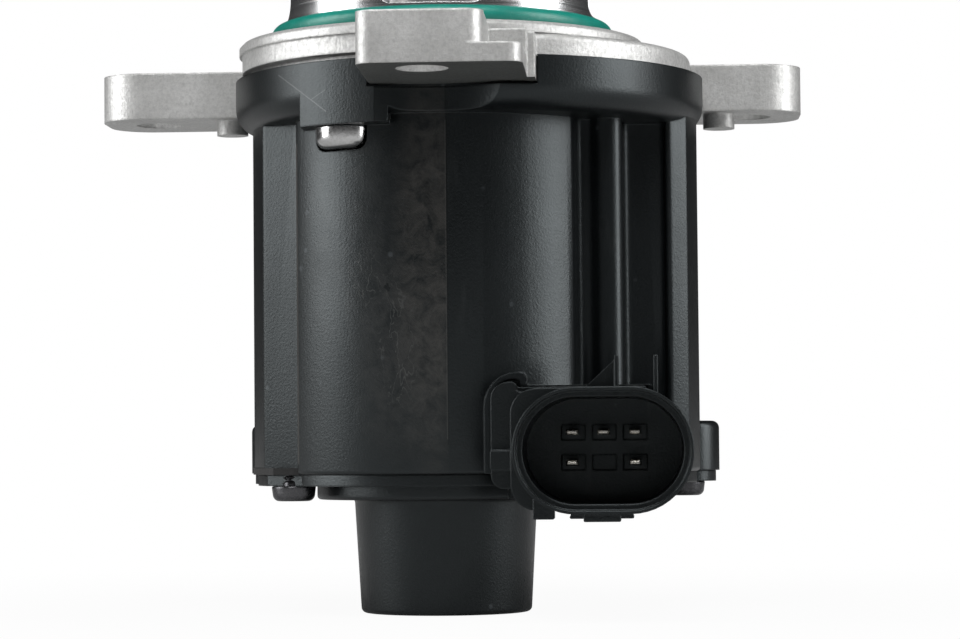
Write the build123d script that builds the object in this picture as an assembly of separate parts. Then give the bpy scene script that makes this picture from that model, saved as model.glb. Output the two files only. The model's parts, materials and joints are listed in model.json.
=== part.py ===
from build123d import *
import os
from math import acos, cos, pi, radians, sin, tan

# Electric exhaust gas recirculation valve, millimetres.
# Origin: valve axis on the mounting face. +Z points to the gas end, -Y to the front ear, +X to the right.

# Overall layout
body_axis = (3.5, 4.0)
clearance = 0.1
slip = 0.03
skin = 0.3

# Mounting flange
joint_z = -3.1
ear_thickness = 6.5
ear_hole_radius = 3.3
side_ear_reach = 42.0
side_ear_back = 20.0
side_ear_width = 17.5
ear_end = 7.5
ear_corner = 6.0
front_ear_reach = 40.0
front_ear_edge = 6.0
front_ear_half = 7.8
front_shelf_right = 12.6
front_shelf_top = -4.1
leg_width = 1.6
lower_disc_radius = 30.2
lower_disc_top = -0.1
upper_disc_radius = 27.6
upper_disc_bottom = -2.4
pilot_height = 1.5
pilot_relief = 0.4
disc_edge = 0.9
root_pad_radius = 2.2
root_pad_depth = 2.1

# Gas sleeve and valve seat
sleeve_radius = 21.25
sleeve_bore = 18.4
sleeve_top = 34.0
head_radius = 19.6
head_bore = 15.5
head_bottom = 24.0
window_width = 15.0
window_bottom = 4.6
window_top = 21.0
window_corner = 2.5
window_count = 4
seal_section = 1.3
flange_seal_groove = 20.58
port_seal_section = 1.2
port_seal_groove = 18.0
port_seal_z = 28.0
seat_height = 3.0
seat_throat = 12.5
seat_cone = 1.4

# Valve, stem and guide
stem_radius = 2.5
lift = 7.0
stop_gap = 0.8
disc_radius = 14.3
disc_thickness = 1.8
bush_wall = 1.5
boss_radius = 6.5
boss_top = 14.0
hub_radius = 6.6
hub_bottom = -13.5
stem_seal_radius = 5.2
stem_seal_height = 3.0
seal_cap_thickness = 0.7

# Return spring
spring_radius = 8.4
spring_wire = 0.75
spring_turns = 5.5
retainer_radius = 9.0
retainer_thickness = 2.0
clip_thickness = 0.6

# Housing outline, seen along the valve axis
wall = 2.2
main_radius = 30.6
lobe_radius = 23.5
lobe_half = 18.55
strip_y = -12.2
pocket_left = 24.4
pocket_right = 28.9
pocket_y = -7.5
ridge_y = -9.0
flute_radius = 2.1
flute_x = 22.3
housing_bottom = -56.5
bottom_round = 0.9

# Collar and its screws
collar_radius = 32.0
collar_bottom = -8.9
collar_round = 2.0
cutout_left = -8.1
cutout_right = 13.8
cutout_z = -6.9
cutout_back = -24.3
driver_radius = 15.5
collar_screw_pitch = 27.6
collar_screw_angles = (237.0, 148.0, 30.0)
collar_lug_radius = 5.75
collar_lug_bottom = -11.4
m4_radius = 2.0
m4_head_radius = 3.9
m4_head_height = 2.9
m4_end = -0.5
head_niche = 0.7

# Bottom cover
cover_edge = 0.5
cover_thickness = 1.5
cover_ring_radius = 17.4
cover_ring_bottom = -59.9
tube_top_radius = 12.35
tube_end_radius = 11.5
tube_bottom = -75.2
tube_bore = 9.2
tube_floor = 1.8
tower_radius = 10.6
tower_top = -42.8
rim_width = 1.6
rim_height = 2.5
cover_lug_pitch = 31.2
cover_lug_angles = (22.0, 148.4)
cover_lug_radius = 5.0
cover_lug_top = -49.6
corner_screw = (-19.7, -8.7)
corner_boss_radius = 4.2
m3_radius = 1.5
m3_head_radius = 2.95
m3_head_height = 2.0
m3_length = 8.0
seal_inset = 0.6
seal_width = 1.0
seal_depth = 0.9
seal_bypass = 0.3

# Connector
plug_x = 21.7
plug_z = -53.6
plug_width = 22.6
plug_height = 15.8
plug_wall = 1.2
plug_rim_y = -35.0
plug_floor_y = -18.0
plug_floor = 1.4
plate_back_y = -26.0
plate_front_y = -29.0
nose_left = 6.4
nose_right = 30.2
nose_top = -43.8
nose_corner = 4.5
nose_front_y = -22.9
flange_edge = 1.2
insert_left = 9.15
insert_right = 28.2
insert_top = -45.4
insert_bottom = -59.6
insert_back_y = -13.6
pin_pitch = 4.0
row_pitch = 3.9
pin_width = 1.5
pin_thickness = 0.7
pin_tip_y = -27.0
pin_recess_width = 3.1
pin_recess_height = 2.0
latch_width = 8.3
latch_drop = 1.1
rib_thickness = 1.0
rib_height = 4.0
rib_places = (22.4, 27.4)

# Sensor
board_back_y = -11.7
board_thickness = 1.4
board_left = -6.0
board_right = 27.4
board_bottom = -56.0
board_top = -45.8
hall_width = 4.0
hall_height = 3.2
hall_thickness = 0.8
hall_z = -53.0
carrier_radius = 8.8
carrier_height = 7.0
magnet_inner = 5.2
magnet_outer = 7.6
magnet_height = 4.0

# Gear train
module = 0.8
pressure_angle = 20.0
backlash = 0.14
tip_factor = 0.9
root_factor = 1.25
pinion_teeth = 12
idler_large_teeth = 30
idler_small_teeth = 14
drive_teeth = 36
idler_bearing_angle = 25.0
motor_bearing_angle = 69.0
drive_gear_top = -34.2
drive_gear_width = 3.3
large_gear_top = -38.2
large_gear_width = 3.0
drive_hub_radius = 6.5
journal_radius = 5.6
journal_gap = 0.3
nut_radius = 4.4
spindle_radius = 3.0
spindle_flat = 2.4
spindle_bottom = -58.0
bearing_radius = 7.4
bearing_height = 2.6
dome_radius = 8.8
dome_roof = 2.2
axle_radius = 1.5
axle_bottom = -45.0
post_radius = 3.0
idler_hub_radius = 3.6

# Gear plate
plate_top = -31.2
plate_thickness = 2.0
plate_boss_places = ((-22.0, 4.0), (-13.2, -12.8), (24.4, 18.6))
plate_boss_radius = 3.6
plate_boss_height = 12.0
plate_pad_radius = 2.8
m25_radius = 1.25
m25_head_radius = 2.3
m25_head_height = 1.5

# Motor
motor_radius = 11.0
motor_wall = 0.9
can_top = -9.0
cap_thickness = 2.0
cap_spigot = 2.0
magnet_wall = 1.75
motor_magnet_top = -14.0
motor_magnet_bottom = -28.0
core_radius = 7.9
core_top = -16.0
core_bottom = -27.0
pole_count = 5
coil_radius = 7.0
coil_overhang = 1.7
commutator_radius = 2.9
commutator_top = -10.6
commutator_bottom = -13.6
brush_half = 1.0
brush_outer = 6.2
shaft_radius = 1.0
shaft_top = -6.4
motor_bush_radius = 2.5
motor_screw_reach = 6.5
m2_radius = 1.0
m2_head_radius = 1.8
m2_head_height = 1.2


def away(radius, angle, centre=(0.0, 0.0)):
    return (centre[0] + radius * cos(radians(angle)), centre[1] + radius * sin(radians(angle)))


# Places worked out from the sizes above
plate_bottom = plate_top - plate_thickness
cover_bottom = housing_bottom - cover_thickness
retainer_top = hub_bottom - seal_cap_thickness - lift - stop_gap
retainer_bottom = retainer_top - retainer_thickness
lower_bearing_bottom = tower_top - bearing_height
upper_bearing_top = plate_bottom + bearing_height
dome_top = upper_bearing_top + dome_roof
carrier_top = lower_bearing_bottom - lift - stop_gap
plug_back_y = plug_floor_y + plug_floor
idler_distance = module * (idler_small_teeth + drive_teeth) / 2
pinion_distance = module * (pinion_teeth + idler_large_teeth) / 2
idler_place = away(idler_distance, idler_bearing_angle)


def motor_centre():
    # The motor axis lies one pinion centre distance from the idler, beside the return spring.
    along = radians(idler_bearing_angle + 180.0 - motor_bearing_angle)
    return (
        idler_place[0] + pinion_distance * cos(along),
        idler_place[1] + pinion_distance * sin(along),
    )


motor_place = motor_centre()
collar_screws_at = [away(collar_screw_pitch, angle, body_axis) for angle in collar_screw_angles]
cover_lugs_at = [away(cover_lug_pitch, angle, body_axis) for angle in cover_lug_angles]
cover_screws_at = cover_lugs_at + [corner_screw]
pin_places = [
    (plug_x + column * pin_pitch, plug_z + row * row_pitch)
    for row, columns in ((0.6, (-1, 0, 1)), (-0.4, (-1, 1)))
    for column in columns
]
empty_place = (plug_x, plug_z - 0.4 * row_pitch)


# Small helpers

def rod(radius, bottom, top, place=(0.0, 0.0)):
    seat = (Align.CENTER, Align.CENTER, Align.MIN)
    return Pos(place[0], place[1], bottom) * Cylinder(radius, top - bottom, align=seat)


def tube(outer, inner, bottom, top, place=(0.0, 0.0)):
    return rod(outer, bottom, top, place) - rod(inner, bottom - 1, top + 1, place)


def block(x_range, y_range, z_range):
    size = [high - low for low, high in (x_range, y_range, z_range)]
    centre = [(high + low) / 2 for low, high in (x_range, y_range, z_range)]
    return Pos(*centre) * Box(*size)


def turned(points, place=(0.0, 0.0)):
    profile = make_face(Plane.XZ * Polyline(*points, close=True))
    return Pos(place[0], place[1], 0) * revolve(profile, axis=Axis.Z)


def upright(sketch, bottom, top):
    return extrude(Pos(0, 0, bottom) * sketch, amount=top - bottom, dir=(0, 0, 1))


def facing_front(sketch, back, front):
    # The sketch is drawn in X and Z and grows along Y from the back to the front.
    return extrude(Plane.XZ.offset(-back) * sketch, amount=back - front)


def rounded(x_range, z_range, radius):
    width = x_range[1] - x_range[0]
    height = z_range[1] - z_range[0]
    middle = Pos((x_range[0] + x_range[1]) / 2, (z_range[0] + z_range[1]) / 2)
    return middle * RectangleRounded(width, height, radius)


def strip(x_range, y_range):
    width = x_range[1] - x_range[0]
    depth = y_range[1] - y_range[0]
    return Pos((x_range[0] + x_range[1]) / 2, (y_range[0] + y_range[1]) / 2) * Rectangle(width, depth)


def pan_screw(place, seat_z, end_z, radius, head_radius, head_height):
    # A pan head hangs below its seat, the shank goes up into the thread.
    edge = head_height * 0.45
    head = fillet(
        rod(head_radius, seat_z - head_height, seat_z, place).edges().filter_by(GeomType.CIRCLE).sort_by(Axis.Z)[0],
        edge,
    )
    drive = Pos(place[0], place[1], seat_z - head_height) * extrude(
        RegularPolygon(head_radius * 0.45, 6), amount=head_height * 0.5
    )
    return head + rod(radius, seat_z - 0.2, end_z, place) - drive


# Housing outline

def housing_plan(inset):
    far = 2 * main_radius
    main = Pos(*body_axis) * Circle(main_radius - inset)
    main -= strip((-far, far), (-far, strip_y + inset))
    main -= strip((pocket_left - inset, far), (-far, ridge_y + inset))
    main -= strip((pocket_left - inset, pocket_right + inset), (-far, pocket_y + inset))
    half = lobe_half - inset
    main += Circle(lobe_radius - inset) & strip((-half, half), (-far, body_axis[1]))
    if inset < flute_radius - skin:
        main += Pos(flute_x, strip_y) * Circle(flute_radius - inset)
    return main


def plan_band(inset, width, bottom, top):
    return upright(housing_plan(inset), bottom, top) - upright(housing_plan(inset + width), bottom - 1, top + 1)


def seal_plan(inset, places, radius):
    # The seal runs round the inner side of every screw that stands on its way.
    plan = housing_plan(inset)
    for place in places:
        plan -= Pos(*place) * Circle(radius + seal_bypass + inset)
    return plan


def seal_band(places, radius, bottom, top, play=0.0):
    outer = upright(seal_plan(seal_inset + play, places, radius), bottom, top)
    return outer - upright(seal_plan(seal_inset + seal_width - play, places, radius), bottom - 1, top + 1)


# Mounting flange with its three ears

def side_ear(side):
    end = side * (side_ear_reach + ear_end)
    root = side * 20.0
    outline = rounded(
        (min(end, root), max(end, root)),
        (side_ear_back - side_ear_width / 2, side_ear_back + side_ear_width / 2),
        ear_corner,
    )
    ear = upright(outline, -ear_thickness, 0)
    pad_x = body_axis[0] + side * (collar_radius + root_pad_radius + 0.2)
    pad = rod(root_pad_radius, -ear_thickness - root_pad_depth, -1, (pad_x, side_ear_back - 4.5))
    return ear + pad


def front_ear():
    front = -(front_ear_reach + front_ear_edge)
    back = cutout_back - clearance
    upper = strip((-front_ear_half, front_ear_half), (front, back))
    upper = fillet(upper.vertices().group_by(Axis.Y)[0], 2.2)
    lower = strip((-front_ear_half, front_shelf_right), (front, back))
    lower = fillet(lower.vertices().group_by(Axis.Y)[0], 2.2)
    arm = upright(upper, front_shelf_top - 0.5, 0)
    shelf = upright(lower, -ear_thickness, front_shelf_top)
    root = block((-front_ear_half, front_shelf_right), (-31.5, back), (-ear_thickness, lower_disc_top - 0.4))
    bridge = block((-front_ear_half, front_ear_half), (back - 1, back + 4), (joint_z, 0))
    leg = block(
        (front_shelf_right - 0.6, front_shelf_right - 0.6 + leg_width),
        (-30.0, back),
        (-ear_thickness, lower_disc_top - 0.6),
    )
    return arm + shelf + root + bridge + leg


def flange_casting():
    lower = rod(lower_disc_radius, joint_z, lower_disc_top, body_axis)
    lower = fillet(lower.edges().filter_by(GeomType.CIRCLE).sort_by(Axis.Z)[-1], disc_edge)
    upper = rod(upper_disc_radius, 0, pilot_height)
    upper = chamfer(upper.edges().filter_by(GeomType.CIRCLE).sort_by(Axis.Z)[-1], 0.5)
    upper += rod(upper_disc_radius - pilot_relief, upper_disc_bottom, 0)
    ears = side_ear(-1) + side_ear(1)
    ears -= rod(collar_radius + clearance, -ear_thickness - 5, joint_z, body_axis)
    for place in collar_screws_at:
        ears -= rod(collar_lug_radius + clearance, -ear_thickness - 5, joint_z, place)
    casting = lower + upper + ears + front_ear()
    casting += rod(sleeve_bore - slip, pilot_height - 0.2, 4.2)
    casting += turned(
        [
            (0, 3.9),
            (boss_radius + 3.5, 3.9),
            (boss_radius + 0.8, 6.0),
            (boss_radius, boss_top - 1),
            (boss_radius - 1, boss_top),
            (0, boss_top),
        ]
    )
    casting += rod(hub_radius, hub_bottom, joint_z)
    for place in ((-side_ear_reach, side_ear_back), (side_ear_reach, side_ear_back), (0, -front_ear_reach)):
        casting -= rod(ear_hole_radius, -ear_thickness - 1, 1, place)
    for place in collar_screws_at:
        casting -= rod(m4_radius + slip, joint_z - 0.1, m4_end + 0.3, place)
    casting -= rod(stem_radius + bush_wall, hub_bottom - 1, boss_top + 1)
    casting -= rod(stem_seal_radius, hub_bottom - 1, hub_bottom + stem_seal_height)
    return casting


def port_sleeve():
    groove_top = pilot_height + 2 * seal_section + 0.05
    port_groove = port_seal_section + 0.05
    profile = [
        (sleeve_bore, pilot_height),
        (flange_seal_groove, pilot_height),
        (flange_seal_groove, groove_top),
        (sleeve_radius, groove_top),
        (sleeve_radius, head_bottom - 1.2),
        (head_radius, head_bottom + 0.6),
        (head_radius, port_seal_z - port_groove),
        (port_seal_groove, port_seal_z - port_groove),
        (port_seal_groove, port_seal_z + port_groove),
        (head_radius, port_seal_z + port_groove),
        (head_radius, sleeve_top - 1),
        (head_radius - 1, sleeve_top),
        (head_bore, sleeve_top),
        (head_bore, sleeve_top - seat_height),
        (seat_throat + 0.6, sleeve_top - seat_height),
        (seat_throat + 0.6, head_bottom + 2.5),
        (sleeve_bore, head_bottom - 1.5),
    ]
    sleeve = turned(profile)
    half = window_width / 2
    window = facing_front(rounded((-half, half), (window_bottom, window_top), window_corner), -10, -30)
    for copy in range(window_count):
        sleeve -= Rot(0, 0, copy * 360 / window_count) * window
    return sleeve


def valve_seat_ring():
    bottom = sleeve_top - seat_height
    return turned(
        [
            (seat_throat, bottom),
            (head_bore, bottom),
            (head_bore, sleeve_top),
            (seat_throat + seat_cone, sleeve_top),
            (seat_throat, sleeve_top - seat_cone),
        ]
    )


def seal_ring(centre_radius, z, section):
    return Pos(0, 0, z) * Torus(centre_radius, section)


def stem_bush():
    top = boss_top - 1.2
    return tube(stem_radius + bush_wall, stem_radius + slip, hub_bottom + stem_seal_height + 0.1, top)


def stem_seal():
    # Lip seal: a U-shaped section with its lip on the stem.
    bottom = hub_bottom
    top = hub_bottom + stem_seal_height
    lip = stem_radius + slip
    return turned(
        [
            (lip, top - 0.9),
            (lip + 0.7, top - 1.6),
            (lip + 0.7, bottom + 0.6),
            (stem_seal_radius - 0.9, bottom + 0.6),
            (stem_seal_radius - 0.9, bottom),
            (stem_seal_radius, bottom),
            (stem_seal_radius, top),
            (lip, top),
        ]
    )


def seal_retainer():
    return tube(hub_radius, stem_radius + 0.5, hub_bottom - seal_cap_thickness, hub_bottom)


# Valve body

def valve_disc():
    seat_top = sleeve_top
    return turned(
        [
            (stem_radius, seat_top - 3.2),
            (stem_radius + 3.4, seat_top - seat_cone - 0.4),
            (seat_throat - 0.1, seat_top - seat_cone),
            (seat_throat + seat_cone - 0.1, seat_top + 0.05),
            (disc_radius, seat_top + 0.5),
            (disc_radius, seat_top + disc_thickness),
            (disc_radius - 0.8, seat_top + disc_thickness + 0.4),
            (stem_radius, seat_top + disc_thickness + 0.4),
        ]
    )


def valve_stem():
    top = sleeve_top + disc_thickness + 0.9
    stem = rod(stem_radius, retainer_bottom - clip_thickness - 0.4, top)
    stem -= tube(stem_radius + 1, stem_radius - 0.5, retainer_bottom - clip_thickness, retainer_bottom)
    return fillet(stem.edges().filter_by(GeomType.CIRCLE).sort_by(Axis.Z)[-1], 0.6)


def spring_retainer():
    # A pressed cup: raised centre for the stem, flat seat for the last coil, turned-down rim.
    bore = stem_radius
    return turned(
        [
            (bore, retainer_bottom),
            (retainer_radius, retainer_bottom),
            (retainer_radius, retainer_bottom + 0.9),
            (spring_radius + spring_wire + 0.1, retainer_bottom + 0.9),
            (spring_radius - spring_wire - 0.25, retainer_bottom + 0.9),
            (spring_radius - spring_wire - 0.25, retainer_top),
            (bore, retainer_top),
        ]
    )


def retainer_clip():
    clip = tube(stem_radius + 1.4, stem_radius - 0.5, retainer_bottom - clip_thickness, retainer_bottom)
    return clip - block((-0.9, 0.9), (0, 6), (retainer_bottom - 2, retainer_bottom + 1))


def return_spring():
    top = joint_z - 0.05
    bottom = retainer_bottom + 0.9 + 0.05
    height = top - bottom - 2 * spring_wire
    path = Helix(pitch=height / spring_turns, height=height, radius=spring_radius)
    section = Plane(origin=path @ 0, z_dir=path % 0) * Circle(spring_wire)
    return Pos(0, 0, bottom + spring_wire) * sweep(section, path=path, is_frenet=True)


def spindle():
    # Fast screw with two flats along it, which keep it from turning.
    top = retainer_bottom - clip_thickness - 0.4
    screw = rod(spindle_radius, spindle_bottom, top)
    for side in (-1, 1):
        near = side * spindle_flat
        far = side * (spindle_radius + 1)
        screw -= block((-6, 6), (min(near, far), max(near, far)), (carrier_top + 2.5, top + 1))
    return screw


def magnet_carrier():
    bottom = carrier_top - carrier_height
    carrier = tube(carrier_radius, spindle_radius, bottom + 2, carrier_top)
    carrier += rod(carrier_radius, bottom, bottom + 2)
    return carrier - tube(magnet_outer + slip, magnet_inner - slip, carrier_top - magnet_height, carrier_top + 1)


def sensor_magnet():
    return tube(magnet_outer, magnet_inner, carrier_top - magnet_height, carrier_top)


# Gears

def involute(angle):
    return tan(angle) - angle


def gear_face(teeth, phase):
    pitch_radius = module * teeth / 2
    base_radius = pitch_radius * cos(radians(pressure_angle))
    root_radius = pitch_radius - root_factor * module
    tip_radius = pitch_radius + tip_factor * module
    half_tooth = (pi * module / 2 - backlash) / 2 / pitch_radius + involute(radians(pressure_angle))
    start = max(root_radius + 0.1, base_radius)
    radii = [start + (tip_radius - start) * step / 3 for step in range(4)]
    flank = [(radius, half_tooth - involute(acos(base_radius / radius))) for radius in radii]
    flank.insert(0, (root_radius, flank[0][1]))
    points = []
    for tooth in range(teeth):
        middle = radians(phase) + tooth * 2 * pi / teeth
        points += [(radius * cos(middle - half), radius * sin(middle - half)) for radius, half in flank]
        points += [(radius * cos(middle + half), radius * sin(middle + half)) for radius, half in reversed(flank)]
    return make_face(Polyline(*points, close=True))


def gear(teeth, phase, bottom, width, place=(0.0, 0.0)):
    return upright(Pos(*place) * gear_face(teeth, phase), bottom, bottom + width)


def meshed_phase(teeth, phase, other_teeth, bearing):
    # A tooth of one gear points along the line of centres where the other has a gap.
    turn = (bearing - phase) * teeth / other_teeth
    return bearing + 180.0 + turn + 180.0 / other_teeth


drive_phase = 0.0
small_phase = meshed_phase(drive_teeth, drive_phase, idler_small_teeth, idler_bearing_angle)
large_phase = small_phase
pinion_bearing = idler_bearing_angle + 180.0 - motor_bearing_angle
pinion_phase = meshed_phase(idler_large_teeth, large_phase, pinion_teeth, pinion_bearing)
drive_gear_bottom = drive_gear_top - drive_gear_width
large_gear_bottom = large_gear_top - large_gear_width
hub_bottom_z = large_gear_bottom - journal_gap


def drive_gear():
    gear_ring = gear(drive_teeth, drive_phase, drive_gear_bottom, drive_gear_width)
    hub = rod(drive_hub_radius, hub_bottom_z, drive_gear_bottom + 0.1)
    upper = rod(journal_radius, drive_gear_top - 0.1, upper_bearing_top - journal_gap)
    lower = rod(journal_radius, lower_bearing_bottom + journal_gap, hub_bottom_z + 0.1)
    bottom = lower_bearing_bottom + journal_gap
    web = tube(module * drive_teeth / 2 - 3.2, drive_hub_radius + 1.2, drive_gear_top - 0.9, drive_gear_top + 0.1)
    return gear_ring + hub + upper + lower - web - rod(nut_radius, bottom - 1, upper_bearing_top + 1)


def spindle_nut():
    bottom = lower_bearing_bottom + journal_gap
    return tube(nut_radius, spindle_radius + 0.05, bottom, upper_bearing_top - journal_gap)


def drive_bearings():
    upper = tube(bearing_radius, journal_radius + slip, plate_bottom, upper_bearing_top)
    lower = tube(tube_bore, journal_radius + slip, lower_bearing_bottom, tower_top)
    return [upper, lower]


def idler_gear():
    small = gear(idler_small_teeth, small_phase, drive_gear_bottom, drive_gear_width, idler_place)
    large = gear(idler_large_teeth, large_phase, large_gear_bottom, large_gear_width, idler_place)
    hub = rod(idler_hub_radius, large_gear_bottom, drive_gear_bottom + 0.1, idler_place)
    return small + large + hub - rod(axle_radius + slip, large_gear_bottom - 1, drive_gear_top + 1, idler_place)


def idler_axle():
    return rod(axle_radius, axle_bottom, plate_top, idler_place)


# Gear plate

def gear_plate():
    rims = [Pos(*place) * Circle(plate_pad_radius) for place in plate_boss_places]
    rims.append(Pos(*motor_place) * Circle(motor_radius + 0.3))
    rims.append(Pos(*idler_place) * Circle(6.0))
    edges = ShapeList()
    for rim in rims:
        edges += rim.edges()
    outline = make_hull(edges) & housing_plan(wall + skin)
    plate = upright(outline, plate_bottom, plate_top)
    plate += rod(dome_radius, plate_bottom, dome_top)
    plate -= rod(bearing_radius, plate_bottom - 1, upper_bearing_top)
    keyed = rod(spindle_radius + clearance, upper_bearing_top - 1, dome_top + 1)
    keyed &= block((-6, 6), (-spindle_flat - slip, spindle_flat + slip), (-60, 0))
    plate -= keyed
    plate -= rod(axle_radius, plate_bottom - 1, plate_top + 1, idler_place)
    plate -= rod(motor_bush_radius + 0.7, plate_bottom - 1, plate_top + 1, motor_place)
    for place in plate_boss_places:
        plate -= rod(m25_radius + clearance, plate_bottom - 1, plate_top + 1, place)
    for place in motor_screws_at():
        plate -= rod(m2_radius + clearance, plate_bottom - 1, plate_top + 1, place)
    return plate


def motor_screws_at():
    return [(motor_place[0] + side * motor_screw_reach, motor_place[1]) for side in (-1, 1)]


def plate_screws():
    return [
        pan_screw(place, plate_bottom, plate_top + 6, m25_radius, m25_head_radius, m25_head_height)
        for place in plate_boss_places
    ]


def motor_screws():
    return [
        pan_screw(place, plate_bottom, plate_top + motor_wall, m2_radius, m2_head_radius, m2_head_height)
        for place in motor_screws_at()
    ]


# Motor

def motor_can():
    can = rod(motor_radius, plate_top, can_top, motor_place)
    can -= rod(motor_radius - motor_wall, plate_top + motor_wall, can_top + 1, motor_place)
    can += rod(motor_bush_radius + 0.6, plate_bottom + 0.4, plate_top + motor_wall + 1.2, motor_place)
    can -= rod(motor_bush_radius, plate_bottom - 1, plate_top + motor_wall + 2, motor_place)
    for place in motor_screws_at():
        can -= rod(m2_radius + slip, plate_top - 1, plate_top + motor_wall + 1, place)
    return can


def motor_end_cap():
    inner = motor_radius - motor_wall - slip
    cap = rod(motor_radius, can_top, can_top + cap_thickness, motor_place)
    cap += tube(inner, inner - 1.2, can_top - cap_spigot, can_top, motor_place)
    cap += rod(motor_bush_radius + 1.0, can_top - 0.9, can_top + cap_thickness, motor_place)
    for side in (-1, 1):
        reach = sorted((side * 4.2, side * 7.6))
        holder = block(reach, (-1.9, 1.9), (commutator_bottom, can_top + 0.1))
        cap += Pos(motor_place[0], motor_place[1], 0) * holder
    for brush in motor_brushes():
        box = brush.bounding_box()
        cap -= block(
            (box.min.X - slip, box.max.X + slip),
            (box.min.Y - slip, box.max.Y + slip),
            (box.min.Z - slip, box.max.Z + slip),
        )
    return cap - rod(motor_bush_radius, can_top - 2, can_top + cap_thickness + 1, motor_place)


def motor_brushes():
    bottom = commutator_bottom + 0.5
    brushes = []
    for side in (-1, 1):
        reach = sorted((side * (commutator_radius + 0.02), side * brush_outer))
        brush = block(reach, (-brush_half, brush_half), (bottom, bottom + 1.8))
        brush -= rod(commutator_radius + 0.02, bottom - 1, bottom + 3)
        brushes.append(Pos(motor_place[0], motor_place[1], 0) * brush)
    return brushes


def motor_magnets():
    outer = motor_radius - motor_wall
    shell = tube(outer, outer - magnet_wall, motor_magnet_bottom, motor_magnet_top)
    gap = block((-4, 4), (-12, 12), (motor_magnet_bottom - 1, motor_magnet_top + 1))
    pair = Pos(motor_place[0], motor_place[1], 0) * (shell - gap)
    return list(pair.solids())


def motor_bushes():
    lower = tube(motor_bush_radius, shaft_radius + slip, plate_bottom + 0.4, plate_top + 1.8, motor_place)
    upper = tube(motor_bush_radius, shaft_radius + slip, can_top - 0.9, can_top + cap_thickness - 0.3, motor_place)
    return [lower, upper]


def armature_core():
    core = rod(core_radius, core_bottom, core_top)
    slot = block((coil_radius - 0.1, core_radius + 1), (-0.7, 0.7), (core_bottom - 1, core_top + 1))
    pocket = tube(coil_radius, 3.2, core_bottom - 1, core_top + 1)
    pocket &= block((0, core_radius), (-2.0, 2.0), (core_bottom - 2, core_top + 2))
    for pole in range(pole_count):
        core -= Rot(0, 0, pole * 360 / pole_count) * (slot + pocket)
    core -= rod(shaft_radius, core_bottom - 1, core_top + 1)
    return Pos(motor_place[0], motor_place[1], 0) * core


def motor_windings():
    lower = tube(coil_radius - 0.3, shaft_radius + 0.8, core_bottom - coil_overhang, core_bottom)
    upper = tube(coil_radius - 0.3, shaft_radius + 0.8, core_top, core_top + coil_overhang)
    coils = lower + upper
    bar = tube(coil_radius - 0.1, 3.3, core_bottom - 0.1, core_top + 0.1)
    bar &= block((0, core_radius), (-1.9, 1.9), (core_bottom - 1, core_top + 1))
    for pole in range(pole_count):
        coils += Rot(0, 0, pole * 360 / pole_count) * bar
    return Pos(motor_place[0], motor_place[1], 0) * coils


def commutator():
    drum = tube(commutator_radius, shaft_radius, commutator_bottom, commutator_top)
    for bar in range(pole_count):
        cut = block((commutator_radius - 0.4, 6), (-0.15, 0.15), (commutator_bottom - 1, commutator_top + 1))
        drum -= Rot(0, 0, bar * 360 / pole_count + 36) * cut
    return Pos(motor_place[0], motor_place[1], 0) * drum


def motor_shaft():
    return rod(shaft_radius, large_gear_bottom - 0.2, shaft_top, motor_place)


def motor_pinion():
    pinion = gear(pinion_teeth, pinion_phase, large_gear_bottom - 0.2, large_gear_width + 0.8, motor_place)
    return pinion - rod(shaft_radius, large_gear_bottom - 1, large_gear_top + 2, motor_place)


# Actuator housing

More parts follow.
